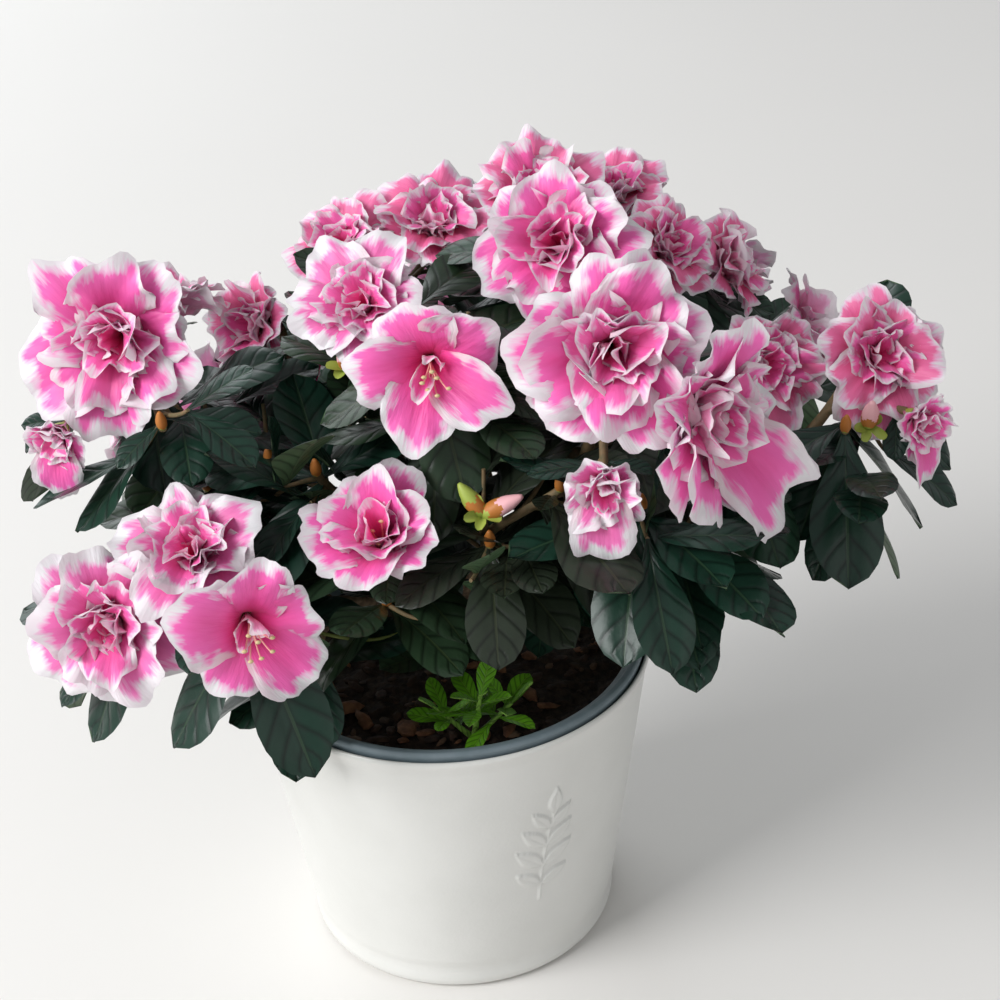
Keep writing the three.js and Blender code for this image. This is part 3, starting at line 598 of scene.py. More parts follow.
def ramp(shader, share, stops):
    made = node(shader, "ValToRGB", {0: share})
    elements = made.node.color_ramp.elements
    for element, (place, colour) in zip((elements[0], elements[1]), (stops[0], stops[-1])):
        element.position, element.color = place, (*colour, 1)
    for place, colour in stops[1:-1]:
        elements.new(place).color = (*colour, 1)
    return made


def noise(shader, vector, scale, detail=2.0):
    return node(shader, "TexNoise", {"Vector": vector, "Scale": scale, "Detail": detail})


def solidNoise(shader, scale, detail):
    return noise(shader, node(shader, "TexCoord", {}, output=3), scale, detail)


def bump(shader, height, distance, strength=1.0):
    normal = node(shader, "Bump", {"Height": height, "Distance": distance, "Strength": strength})
    wire(shader, normal, "Normal")


# Where a point lies on its own blade: U across from 0 to 1, V from foot to tip, and |2 U - 1|
def bladePlace(shader):
    whole = node(shader, "UVMap", {}, uv_map="blade")
    u, v = (node(shader, "SeparateXYZ", {0: whole}, output=k) for k in (0, 1))
    return u, v, calc(shader, "ABSOLUTE", calc(shader, "MULTIPLY_ADD", u, 2.0, -1.0))


def bladeNoise(shader, u, v, across, along, layer, detail):
    vector = node(shader, "CombineXYZ", {0: calc(shader, "MULTIPLY", u, across),
                                         1: calc(shader, "MULTIPLY", v, along), 2: layer})
    return noise(shader, vector, 1.0, detail)


petalTints = [   # pink of the middle, deep pink of the foot, width of the white margin
    dict(name="petal_pink", middle=(0.98, 0.12, 0.45), foot=(0.82, 0.010, 0.18), margin=0.0),
    dict(name="petal_pale", middle=(0.92, 0.17, 0.47), foot=(0.80, 0.02, 0.20), margin=0.03),
    dict(name="petal_rose", middle=(0.90, 0.15, 0.35), foot=(0.74, 0.02, 0.13), margin=-0.02),
]
heartTint = dict(name="petal_heart", middle=(0.95, 0.12, 0.41), foot=(0.80, 0.010, 0.17), margin=-0.02)
backTint = dict(name="petal_back", middle=(0.88, 0.38, 0.60), foot=(0.78, 0.22, 0.40), margin=0.03)
petalLook = dict(white=(0.81, 0.75, 0.79), blush=(0.88, 0.47, 0.68), roughness=0.5, side=0.36, low=0.9,
                 streak=(24.0, 4.0, 3.0, 3.0), streakShare=0.2, broad=(6.0, 4.5, 7.0, 1.0), broadShare=0.22,
                 margin=0.19, stops=(0.085, 0.12, 0.165, 0.5), foot=2.1, relief=0.0006)


# Distance to the rim as a share of the length, with the sides' share of the half width, plus streaks
# along the petal. A ramp over it runs from the white margin to the pink middle, and the foot deepens it.
def petalFinish(tint):
    material, shader = newFinish(tint["name"], tint["middle"], petalLook["roughness"], Sheen_Weight=0.1,
                                 Subsurface_Weight=0.3, Subsurface_Scale=0.003,
                                 Subsurface_Radius=(1.0, 0.6, 0.75))
    u, v, off = bladePlace(shader)
    side, toTip = calc(shader, "SUBTRACT", 1.0, off), calc(shader, "SUBTRACT", 1.0, v)
    low = calc(shader, "MAXIMUM", calc(shader, "SUBTRACT", 0.5, v), 0.0)
    sideways = calc(shader, "MULTIPLY_ADD", side, petalLook["side"],
                    calc(shader, "MULTIPLY", low, petalLook["low"]))
    rim = calc(shader, "SMOOTH_MIN", sideways, toTip, 0.1)
    streak, broad = (bladeNoise(shader, u, v, *petalLook[key]) for key in ("streak", "broad"))
    mixed = calc(shader, "MULTIPLY_ADD", streak, petalLook["streakShare"],
                 calc(shader, "MULTIPLY_ADD", broad, petalLook["broadShare"], rim))
    share = calc(shader, "SUBTRACT", mixed, petalLook["margin"] + tint["margin"])
    deeper = tuple(0.5 * (a + b) for a, b in zip(tint["middle"], tint["foot"]))
    colour = ramp(shader, share, list(zip(petalLook["stops"], (petalLook["white"], petalLook["blush"],
                                                                tint["middle"], deeper))))
    footShare = calc(shader, "POWER", toTip, petalLook["foot"])
    wire(shader, blend(shader, footShare, colour, tint["foot"]), "Base Color")
    bump(shader, streak, petalLook["relief"], 0.5)
    return material


leafTints = [
    dict(name="leaf_deep", colour=(0.007, 0.025, 0.016), rib=(0.032, 0.070, 0.036)),
    dict(name="leaf_green", colour=(0.010, 0.034, 0.018), rib=(0.028, 0.065, 0.026)),
    dict(name="leaf_olive", colour=(0.014, 0.029, 0.014), rib=(0.036, 0.056, 0.022)),
    dict(name="leaf_bronze", colour=(0.016, 0.022, 0.014), rib=(0.040, 0.050, 0.026)),
]
leafBack = dict(name="leaf_back", colour=(0.045, 0.085, 0.038), rib=(0.10, 0.15, 0.07))
leafLook = dict(roughness=0.34, veins=6.0, slant=1.5, rib=0.045, ribShare=0.6, fine=(18.0, 36.0, 1.0, 2.0),
                mottle=(3.0, 6.0, 5.0, 2.0), pale=1.7, paintedVeinShade=0.55, relief=0.00026)


# Veins: a groove down the middle and side veins where frac(veins v - slant |u|) is near a half, bumped down
# and darkened in colour as painted shade
def leafFinish(tint, roughness, depth=1.0):
    material, shader = newFinish(tint["name"], tint["colour"], roughness, Coat_Weight=0.22,
                                 Coat_Roughness=0.24, Specular_IOR_Level=0.25)
    u, v, off = bladePlace(shader)
    slanted = calc(shader, "SUBTRACT", calc(shader, "MULTIPLY", v, leafLook["veins"]),
                   calc(shader, "MULTIPLY", off, leafLook["slant"]))
    wave = calc(shader, "ABSOLUTE", calc(shader, "SUBTRACT", calc(shader, "FRACT", slanted), 0.5))
    swell = calc(shader, "SMOOTH_MIN", calc(shader, "MULTIPLY", wave, 5.0), 1.0, 0.6)
    groove = calc(shader, "SMOOTH_MIN", calc(shader, "MULTIPLY", off, 8.0), 1.0, 0.4)
    raised = calc(shader, "MULTIPLY", swell, groove)
    fine, mottle = (bladeNoise(shader, u, v, *leafLook[key]) for key in ("fine", "mottle"))
    # Painted shade: the sunken groove and side veins take a darker copy of the leaf colour, shade painted
    # into the creases
    pale, paintedVeinShade = (tuple(leafLook[key] * part for part in tint["colour"]) for key in ("pale", "paintedVeinShade"))
    body = blend(shader, raised, paintedVeinShade, blend(shader, mottle, tint["colour"], pale))
    rib = calc(shader, "MULTIPLY", calc(shader, "LESS_THAN", off, leafLook["rib"]), leafLook["ribShare"])
    wire(shader, blend(shader, rib, body, tint["rib"]), "Base Color")
    bump(shader, calc(shader, "MULTIPLY_ADD", fine, 0.25, raised), leafLook["relief"] * depth, 0.7)
    return material


def mottledFinish(name, colour, other, roughness, scale, depth, **sockets):
    material, shader = newFinish(name, colour, roughness, **sockets)
    grain = solidNoise(shader, scale, 4.0)
    share = ramp(shader, grain, [(0.35, (0, 0, 0)), (0.65, (1, 1, 1))])
    wire(shader, blend(shader, share, colour, other), "Base Color")
    bump(shader, grain, depth)
    return material


petalBack = petalFinish(backTint)
petalFinishes = [petalFinish(tint) for tint in petalTints] + [petalBack]
heartFinishes = [petalFinish(heartTint), petalBack]
leafFinishes = [leafFinish(tint, leafLook["roughness"]) for tint in leafTints]
leafFinishes.append(leafFinish(leafBack, 0.6, -0.6))
print("materials ready")


# Leaf blades: middle + across u half + normal times a shallow fold, a sunken midrib, curled margins,
# a slow wave and a tip that bends down. half = wide L sin(pi v^1.3)^0.6 v^0.35, never under the stalk.
bladeForm = dict(rows=10, columns=7, full=1.17, thick=0.3, stalkThick=0.9, fold=(0.05, 0.34), rib=0.45,
                 curl=(0.05, 0.2), wave=(0.005, 0.03), tipDrop=(-0.02, 0.09), roll=(-0.35, 0.35),
                 width=(0.92, 1.06))


def leafSheets(placed, seed, form, frontSlots, backSlot, wide=leafForm["wide"]):
    rng, count = np.random.default_rng(seed), len(placed)

    def each(low, high):
        return rng.uniform(low, high, count)[:, None, None]
    root, along = (np.array([leaf[k] for leaf in placed])[:, None, None, :] for k in (0, 1))
    length = np.array([leaf[2] for leaf in placed], float)[:, None, None]
    v = np.linspace(0, 1, form["rows"])[None, :, None]
    u = np.linspace(-1, 1, form["columns"])[None, None, :]
    v = v * (1.4 - 0.4 * v)
    half = wide * length * each(*form["width"]) * form["full"] * np.sin(np.pi * v ** 1.3) ** 0.6 * v ** 0.35
    half = np.maximum(leafForm["stalk"] * (1 - v ** 8), half)
    pair, roll = framed(along), (each(*form["roll"]) * v)[..., None]
    across, normal = spoke(pair, roll), spoke(pair, roll + np.pi / 2)
    blade = smoothstep(0.02, 0.15, v)
    lift = each(*form["fold"]) * half * (np.sqrt(u * u + 0.03) - 0.17) * blade
    lift = lift - form["rib"] * np.exp(-(u / 0.16) ** 2) * blade - each(*form["curl"]) * half * u ** 4 * blade
    lift = lift + each(*form["wave"]) * length * u * u * np.sin(fullTurn * (1.4 * v + each(0, 1))) * blade
    lift = lift - each(*form["tipDrop"]) * length * v ** 3
    middle = root + along * (length * v)[..., None] - upward * (leafForm["sag"] * length * v * v)[..., None]
    front = middle + across * (u * half)[..., None] + normal * lift[..., None]
    thick = (form["thick"] + form["stalkThick"] * np.exp(-v / 0.06))[..., None]
    return sheeted(front, thick, frontSlots, backSlot)


# Petals: a strip along a profile whose slope from the bloom's axis grows evenly from foot to tip, so
# aside = r0 + L (cos s0 - cos(s0 + k v)) / k and height = L (sin(s0 + k v) - sin s0) / k. The blade widens
# as sin(pi (0.06 + 0.52 v^1.1))^0.8, ends in an arc with lobes and teeth, is an arc across, and waves along
# its rim by the angle round its middle.
petalForm = dict(rows=12, columns=19, thick=0.26, foot=0.02, footCup=1.5, tipTurn=1.25, tipRound=0.8,
                 lobe=0.05, teeth=0.013, notch=0.035, waves=(4.4, 10.5), crinkle=0.6, crease=0.02,
                 droop=0.05, twist=0.3, lean=0.04)
petalWhorls = {   # count, length, half width, slopes, cup, ruffle; lengths are shares of the bloom's size
    "double": [(5, 0.68, 0.26, 8, 102, -0.1, 0.040), (5, 0.62, 0.23, 3, 86, 0.15, 0.046),
               (5, 0.54, 0.18, -2, 66, 0.4, 0.050), (4, 0.45, 0.13, -4, 50, 0.7, 0.055),
               (3, 0.35, 0.085, -4, 34, 1.0, 0.045)],
    "open": [(5, 0.69, 0.27, 10, 98, 0.1, 0.028), (2, 0.42, 0.09, 2, 40, 0.9, 0.03)],
    "cup": [(5, 0.72, 0.26, 4, 80, 0.35, 0.03), (5, 0.66, 0.23, 0, 56, 0.45, 0.036),
            (4, 0.54, 0.16, -4, 36, 0.7, 0.04)],
    "tuft": [(4, 0.52, 0.22, 6, 92, 0.2, 0.04), (5, 0.50, 0.18, 0, 64, 0.5, 0.045),
             (4, 0.42, 0.12, -6, 34, 0.9, 0.05)],
}
petalWhorls["skirted"] = petalWhorls["double"]
lips = {   # large lower petals: turn round the bloom, then as in a whorl
    "tuft": [(-90, 0.82, 0.31, 8, 100, 0.2, 0.025)],
    "skirted": [(-118, 0.96, 0.31, 8, 92, 0.1, 0.04), (-58, 0.87, 0.33, 8, 88, 0.1, 0.04)],
}
petalSpread = dict(stack=0.022, turn=0.09, turnMore=0.05, length=(0.87, 1.1), half=(0.86, 1.12), slope0=2,
                   slope1=6, cup=0.2, ruffle=(0.8, 1.35), more=0.5)   # "more" is for each layer inwards


# Each petal has a base, axis, aside, size, length, half, slope0, slope1, cup and ruffle
def petalSheets(petals, seed, form, frontSlots, backSlot):
    rng, count = np.random.default_rng(seed), len(petals)

    def column(key):
        values = np.array([petal[key] for petal in petals], float)
        return values.reshape(count, 1, 1, *values.shape[1:])
    base, axis, out, size, slope0, width = map(column, ("base", "axis", "aside", "size", "slope0", "half"))
    length, turnBy = column("length") * size, column("slope1") - slope0
    v = np.linspace(0, 1, form["rows"])[None, :, None]
    u = np.linspace(-1, 1, form["columns"])[None, None, :]
    phase = rng.uniform(0, fullTurn, (count, 5))[:, :, None, None]
    half = width * size * np.sin(np.pi * (0.06 + 0.52 * v ** 1.1)) ** 0.8
    arc = np.sin(form["tipTurn"] * u) / math.sin(form["tipTurn"])
    drop = form["tipRound"] * (1 - np.cos(form["tipTurn"] * u)) / (1 - math.cos(form["tipTurn"]))
    drop = drop * width / column("length") * rng.uniform(0.85, 1.1, count)[:, None, None]
    lobe = form["lobe"] * (np.sin(3.4 * u + phase[:, 0]) + 0.6 * np.sin(7.5 * u + phase[:, 1]))
    teeth = form["teeth"] * rng.uniform(-1, 1, (count, 1, form["columns"]))
    s = v - drop * v * v + (lobe + teeth) * v ** 4
    flat = half * (u + (arc - u) * v * v)
    flat = flat * (1 + form["notch"] * np.abs(u) ** 6 * rng.uniform(-1, 1, (count, form["rows"], 1)))
    slope = slope0 + turnBy * s
    aside = form["foot"] * size + length * (np.cos(slope0) - np.cos(slope)) / turnBy
    height = length * (np.sin(slope) - np.sin(slope0)) / turnBy
    bow = (form["footCup"] * (1 - v) ** 2 + column("cup") * v) * flat / np.maximum(half, 1e-6)
    rimShare = np.maximum(np.abs(u) ** 3 * smoothstep(0.2, 0.65, v), v ** 4)
    around = np.arctan2(flat, (s - 0.45) * length)
    wave = np.sin(form["waves"][0] * around + phase[:, 3]) \
        + form["crinkle"] * np.sin(form["waves"][1] * around + phase[:, 4])
    crease = form["crease"] * np.exp(-(u / 0.2) ** 2) * smoothstep(0.1, 0.6, v) * (1 - 0.7 * v ** 4)
    lean = form["lean"] * v * v * (0.6 * rng.uniform(-1, 1, (count, 1, 1)) + u * np.sin(phase[:, 2]))
    lift = size * (column("ruffle") * rimShare * wave - crease + lean)
    lift = lift + flat * bow / 2 * np.sinc(bow / fullTurn) ** 2
    sideways = flat * np.sinc(bow / np.pi)
    twist = (form["twist"] * rng.uniform(-1, 1, count)[:, None, None] * v)[..., None]
    inward = axis * np.sin(slope[..., None]) - out * np.cos(slope[..., None])
    front = base + out * aside[..., None] + axis * height[..., None] + inward * lift[..., None] \
        + spoke((np.cross(out, axis), inward), twist) * sideways[..., None] \
        - upward * (form["droop"] * length * v * v)[..., None]
    return sheeted(front, form["thick"], frontSlots, backSlot)


# A bloom's petals in whorls: turn = start + (k + 0.5 in every other whorl) full turn / count, then loosened
def petalsOf(head, rng):
    axis, size, spread = heading(head["faces"]), head["size"], petalSpread
    pair, base = framed(axis), calyxOf(head)
    found = [(0, math.radians(turn), shape) for turn, *shape in lips.get(head["form"], ())]
    start = rng.uniform(0, fullTurn)
    for layer, (count, *shape) in enumerate(petalWhorls[head["form"]]):
        for k in range(count):
            turn = start + (k + 0.5 * (layer % 2)) * fullTurn / count
            found.append((layer, turn + rng.normal(0, spread["turn"] + spread["turnMore"] * layer), shape))
    for layer, turn, (length, half, slope0, slope1, cup, ruffle) in found:
        loose = 1 + spread["more"] * layer
        yield layer, dict(
            base=base + axis * spread["stack"] * layer * size, axis=axis, aside=spoke(pair, turn), size=size,
            length=length * rng.uniform(*spread["length"]), half=half * rng.uniform(*spread["half"]),
            slope0=math.radians(slope0 + rng.normal(0, spread["slope0"])),
            slope1=math.radians(slope1 + rng.normal(0, spread["slope1"] * loose)),
            cup=cup + rng.normal(0, spread["cup"] * loose), ruffle=ruffle * rng.uniform(*spread["ruffle"]),
            tint=head["tint"])


petalLayers, sepals = [[], [], []], []
sepalForm = dict(petalForm, rows=5, columns=5, thick=0.2, foot=0.01, footCup=1.2, lobe=0, teeth=0, droop=0)
sepalSpread = dict(count=5, turn=0.2, length=(0.3, 0.42), open=(0.5, 0.9), bud=(1.2, 1.7))
for name, spray in grown.items():
    rng = np.random.default_rng(spray["seed"] + 1)
    for head in spray["heads"]:
        if head["size"]:
            for layer, petal in petalsOf(head, rng):
                petalLayers[min(layer, 2)].append(petal)
        if head["faces"]:
            axis, spread = heading(head["faces"]), sepalSpread
            for k in range(spread["count"]):
                turn = k * fullTurn / spread["count"] + rng.uniform(-spread["turn"], spread["turn"])
                sepals.append(dict(
                    base=calyxOf(head) - axis * 1.2, axis=axis, aside=spoke(framed(axis), turn), size=20,
                    length=rng.uniform(*spread["length"]), half=0.09, slope0=0.35,
                    slope1=rng.uniform(*spread["open" if head["size"] else "bud"]), cup=0.8, ruffle=0))
heartForm = dict(petalForm, rows=11, columns=15, teeth=0.012, twist=0.2)
for layer, kind in enumerate(("outer", "middle", "inner")):
    petals, inner = petalLayers[layer], kind == "inner"
    fronts = [0 if inner else petal["tint"] for petal in petals]
    finishes = heartFinishes if inner else petalFinishes
    blades = petalSheets(petals, 5 + layer, heartForm if inner else petalForm, fronts, len(finishes) - 1)
    makePiece("petals_" + kind, [blades], finishes, sprayNodes, tiled=True)
blades = leafSheets(leaves, 3, bladeForm, [leaf[3] for leaf in leaves], len(leafTints))
makePiece("leaves", [blades], leafFinishes, sprayNodes, tiled=True)

# Wood: rods along the limbs' own curves
barkForm = dict(sides=16, step=1.3, swell=0.09, ridge=0.07, ring=0.1)
barkFinish = mottledFinish("bark", (0.10, 0.062, 0.036), (0.23, 0.16, 0.10), 0.85, 420.0, 0.0006)
twigFinish = mottledFinish("twig", (0.12, 0.10, 0.045), (0.20, 0.13, 0.06), 0.7, 500.0, 0.0003)
stalkFinish = newFinish("green_stalk", (0.20, 0.24, 0.05), 0.5)[0]


# A taper with a flared foot, times 1 + swellings, ridges that run lengthwise, and rings of old leaf scars
def barked(curve, form, seed, bark):
    def radius(way, angle):
        run, turn = way * curve["length"], angle / fullTurn
        swell = bark["swell"] * valueNoise(turn * 4, run * 0.12, seed, 4)
        ridge = bark["ridge"] * valueNoise(turn * 11, run * 0.35, seed + 1, 11)
        ring = bark["ring"] * np.maximum(np.sin(run * 0.55 + seed) - 0.8, 0)
        return (taper(form)(way, angle) + form["flare"] * np.exp(-7 * way)) * (1 + swell + ridge + ring)
    return rod(curve, radius, bark["sides"], max(8, int(curve["length"] / bark["step"])))


wood = [barked(limbCurves["trunk"], trunkForm, 1, dict(barkForm, sides=28, step=0.6))]
for k, (name, parent, way, spray) in enumerate(limbs):
    base = limbForm["base"] * (1 if parent == "trunk" else limbForm["side"])
    wood.append(barked(limbCurves[name], dict(limbForm, base=base), k + 2, barkForm))
makePiece("trunk_and_boughs", wood, [barkFinish], list(limbCurves))
woody = [rod(curve, taper(twigForm if index else stemForm), 10, 24)
         for spray in grown.values() for index, curve in enumerate(spray["curves"])]
woody += [rod(twig, taper(sideForm), 7, 10) for twig in fineTwigs]
# One thin green stalk, bare of leaves, that sags from the low front stem towards the middle
bareStalk = dict(at=0.55, controls=[(-34, -52, 152), (-25, -54, 146), (-11.5, -54, 153)], base=0.7, tip=0.5)
start = pointAt(grown["low_front"]["curves"][0], bareStalk["at"])
woody.append(rod(bezier(start, *bareStalk["controls"]), taper(bareStalk), 7, 20, 1))
makePiece("twigs", woody, [twigFinish, stalkFinish], sprayNodes)


# Buds, sepals and stamens are plain colours, dealt out by part
budForm = dict(rings=16, sides=20, blunt=0.4, relief=0.1, scales=4, green=0.2, brown=0.52, long=13.5,
               wide=2.5, small=(6.5, 1.4))
budFinishes = [newFinish(*plain)[0] for plain in (
    ("bud_green", (0.34, 0.42, 0.07), 0.5), ("bud_brown", (0.48, 0.17, 0.03), 0.55),
    ("bud_pink", (0.85, 0.45, 0.48), 0.5))]
stamenFinishes = [newFinish(*plain)[0] for plain in (
    ("filament", (0.82, 0.42, 0.36), 0.5), ("anther", (0.62, 0.50, 0.26), 0.6))]


# A bud: circles of blunt + wide sin(pi way^0.8)^0.8, wound with the edges of its scales, from green scales
# at the foot through others to the petals' tip. kinds: finish of the middle and of the tip.
def budPart(foot, lean, long, wide, kinds, form):
    def plump(way, angle):
        spiral = np.abs(np.sin(form["scales"] * angle / 2 + 8 * way)) ** 0.5
        return (form["blunt"] + wide * np.sin(np.pi * np.clip(way * 0.97 + 0.02, 0, 1) ** 0.8) ** 0.8) \
            * (1 + form["relief"] * (spiral - 0.8) * (way < 0.7))
    along = heading(lean)
    line = bezier(foot - along, foot + along * long * 0.5, foot + along * long + upward * 0.06 * long)
    part = rod(line, plump, form["sides"], form["rings"])
    turn, way = part["place"].mean(1).T
    edge = way + 0.06 * np.sin(fullTurn * turn * form["scales"])
    part["slots"] = np.where(edge < form["green"], 0, np.where(edge < form["brown"], *kinds))
    return part


# Stamens leave the throat in a bundle on cubics, sag, and turn up at their ends, where each bears an anther
# of radius wide sqrt(1 - (2 way - 1)^2)
stamenForm = dict(count=7, base=0.3, tip=0.24, throat=0.12, turn=0.3, spread=0.10, scatter=(0.4, 1.2),
                  reach=(-0.07, 0.09), droop=0.09, climb=0.8, bow=0.35, wide=0.6, long=1.7)


def stamensOf(head, rng, form):
    axis, size = heading(head["faces"]), head["size"]
    base = calyxOf(head) + axis * size * form["throat"]

    def plump(way, angle):
        return form["wide"] * np.sqrt(np.clip(1 - (2 * way - 1) ** 2, 0.04, 1)) + 0 * angle
    for k in range(form["count"]):
        turn = fullTurn * k / form["count"] + rng.uniform(-form["turn"], form["turn"])
        out = spoke(framed(axis), turn) * form["spread"] * rng.uniform(*form["scatter"]) * size
        end = head["at"] + axis * size * rng.uniform(*form["reach"]) + out - upward * form["droop"] * size
        line = route(base, axis, end, unit(axis + form["climb"] * upward), form["bow"])
        side = unit(np.cross(tangentAt(line, 1.0), upward + 0.1 * axis)) * form["long"] / 2
        yield from (rod(line, taper(form), 5, 9), rod(bezier(end - side, end + side), plump, 6, 5, 1))


rng = np.random.default_rng(17)
heads = [head for spray in grown.values() for head in spray["heads"]]
stamens = [part for head in heads if head["form"] in ("open", "cup")
           for part in stamensOf(head, rng, stamenForm)]
makePiece("stamens", stamens, stamenFinishes, sprayNodes)
budParts = [budPart(calyxOf(head), lean, budForm["long"] * (0.85 + 0.15 * k), budForm["wide"],
                    (1, 2) if k or head["buds"] == 1 else (1, 0), budForm)
            for head in heads for k, lean in enumerate(head["leans"])]
budParts += [budPart(np.array(head["at"], float), (0, 70), *budForm["small"], (1, 1), budForm)
             for head in heads if not head["faces"]]
budParts.append(petalSheets(sepals, 9, sepalForm, 0, 0))
makePiece("buds_and_sepals", budParts, budFinishes, sprayNodes)


# The young shoot by the pot's front edge: three short stalks (lean, height, leaves) from one foot, whose
# leaves turn by the golden angle
shootForm = dict(foot=(8, -45, soil["level"] + 0.5), leaf=15, wide=0.2, base=1.1, tip=0.7, lift=52, fall=60,
                 first=0.98, step=0.6,
                 stalks=[((20, 66), 22, 10), ((-70, 46), 15, 8), ((88, 40), 17, 8)])
youngTint = dict(name="young_leaf", colour=(0.085, 0.24, 0.010), rib=(0.22, 0.42, 0.05))
youngBack = dict(name="young_leaf_back", colour=(0.16, 0.30, 0.05), rib=(0.2, 0.35, 0.1))
youngBlade = dict(bladeForm, rib=0.25, stalkThick=0.4, curl=(-0.1, 0.15))
foot, draw, youngLeaves, youngStalks = np.array(shootForm["foot"], float), seeded(7), [], []
for lean, height, count in shootForm["stalks"]:
    stretch = heading(lean) * height
    line = bezier(foot - upward, foot + stretch * 0.5, foot + stretch + upward * 2)
    youngStalks.append(rod(line, taper(shootForm), 8, 8, 1))
    for k in range(count):
        length = shootForm["leaf"] * (0.75 + 0.5 * draw()) * (0.75 + 0.25 * min(k, 3) / 3)
        along = heading((k * goldenTurn + lean[0], shootForm["lift"] - shootForm["fall"] * k / count))
        root = pointAt(line, shootForm["first"] - shootForm["step"] * k / count)
        if offPot(leafMarks(root, along, length)):
            youngLeaves.append((root, along, length))
youngFinishes = [leafFinish(youngTint, 0.4, 0.7), leafFinish(youngBack, 0.6, -0.5)]
blades = leafSheets(youngLeaves, 8, youngBlade, 0, 1, shootForm["wide"])
makePiece("young_shoot_leaves", [blades, *youngStalks], youngFinishes, ["young_shoot"],
          tiled=True)


# Turns a profile of (radius, height) pairs: P = (r cos a, r sin a, z), with relief(r, a, z) added to r and z
def turned(profile, angles, relief=lambda radius, turn, up: (0, 0)):
    profile, turn = np.array(profile, float), angles[None, :]
    radius, height = profile[1:-1, :1], profile[1:-1, 1:]
    change = relief(radius, turn, height)
    radius, height = radius + change[0], height + change[1]
    rings = np.stack(np.broadcast_arrays(radius * np.cos(turn), radius * np.sin(turn), height), -1)[None]
    return ringed(rings, *(np.array([[0, 0, profile[end, 1]]]) for end in (0, -1)))


# Rounds a profile's corners: each is cut by a quadratic from size before it to size after it
def rounded(profile, size, steps=4):
    profile = np.array(profile, float)
    corner = profile[1:-1]
    start, end = (corner + side / length * np.minimum(size, length * 0.45)
                  for side in (profile[:-2] - corner, profile[2:] - corner)
                  for length in [np.linalg.norm(side, axis=1, keepdims=True)])
    t = np.linspace(0, 1, steps)[None, :, None]
    cut = (1 - t) ** 2 * start[:, None] + 2 * t * (1 - t) * corner[:, None] + t * t * end[:, None]
    return np.concatenate([profile[:1], cut.reshape(-1, 2), profile[-1:]])


def wallAt(height):
    return planter["foot"] + (planter["rim"] - planter["foot"]) * height / planter["height"]


# The raised sprig on the tin: a bent stalk and pairs of leaves, each a pillow 1 - (across / width)^2 with
# a groove for its rib. x runs round the wall from the sprig's middle and y up it.
sprigForm = dict(turn=27, middle=63, height=0.75, stalk=0.8, lean=0.13, foot=-22, span=44, low=-26, high=19,
                 half=24, columns=130,
                 leaves=[(-17, 62, 12, 2.9), (-17, -52, 12, 2.9), (-8, 56, 14, 3.3), (-8, -48, 14, 3.3),
                         (1, 50, 13.5, 3.1), (1, -44, 13.5, 3.1), (9, 44, 11.5, 2.7), (9, -38, 11.5, 2.7),
                         (15, 4, 12, 2.9)])   # foot on the stalk, tilt, length, half width


def sprigHeight(x, y, form):
    def bend(y):
        return form["lean"] * (y - form["foot"]) ** 2 / form["span"]
    ends = smoothstep(form["low"], form["low"] + 2, y) * smoothstep(form["high"], form["high"] - 2, y)
    stalk = (1 - ((x - bend(y)) / form["stalk"]) ** 2) * ends
    raised = np.maximum(stalk, 0) * 0.7
    for low, tilt, long, wide in form["leaves"]:
        c, s = math.cos(math.radians(tilt)), math.sin(math.radians(tilt))
        away, up = x - bend(low), y - low
        way, across = (away * s + up * c) / long, away * c - up * s
        width = wide * np.sin(np.pi * np.clip(way, 0, 1) ** 0.85)
        pillow = np.where((way > 0) & (way < 1), 1 - (across / np.maximum(width, 0.2)) ** 2, 0)
        rib = 0.35 * np.exp(-(across / 0.35) ** 2)
        raised = np.maximum(raised, np.clip(pillow * 2.2, 0, 1) - rib * (pillow > 0))
    return form["height"] * smoothstep(0, 1, raised)


tinForm = dict(columns=220, rows=150, wave=0.05)


# The tin's profile from its foot up the wall, over the rolled rim and down inside, with faint dents
def tinPart(form):
    height, wall, floor, band, bead, edge, rim = (
        planter[key] for key in ("height", "wall", "floor", "band", "bead", "edge", "rim"))
    low = wallAt(0)
    foot = rounded([[0, 0], [low - edge, 0], [low + bead * 0.6, edge * 0.7], [low + bead + 0.3, band * 0.45],
                    [low + bead, band * 0.85], [wallAt(band) - 0.2, band * 1.15],
                    [wallAt(band + 4), band + 4]], 0.9)
    up = np.linspace(band + 4.6, height - 6.5, form["rows"])
    top = rounded([[wallAt(height - 6), height - 6], [rim + 0.1, height - 3.2], [rim + 0.6, height - 1.2],
                   [rim - 0.1, height], [rim - wall, height - 0.4], [wallAt(height - 7) - wall, height - 7],
                   [low - wall, floor], [0, floor]], 0.7)
    middle, half = math.radians(sprigForm["turn"] - 90), math.radians(sprigForm["half"])

    def fromMiddle(turn):
        return (turn - middle + np.pi) % fullTurn - np.pi
    around = circle(form["columns"])
    fine = (middle + np.linspace(-half, half, sprigForm["columns"])) % fullTurn
    angles = np.sort(np.concatenate([around[np.abs(fromMiddle(around)) > half + 0.01], fine]))

    def relief(radius, turn, up):
        outside = (radius > wallAt(up) - 0.3) & (up > band + 4) & (up < height - 6)
        sprig = sprigHeight(fromMiddle(turn) * radius, up - sprigForm["middle"], sprigForm)
        return outside * (sprig + form["wave"] * np.sin(3 * turn + up * 0.03) * np.sin(up * 0.028)), 0
    return turned(np.concatenate([foot[:-1], np.column_stack([wallAt(up), up]), top]), angles, relief)


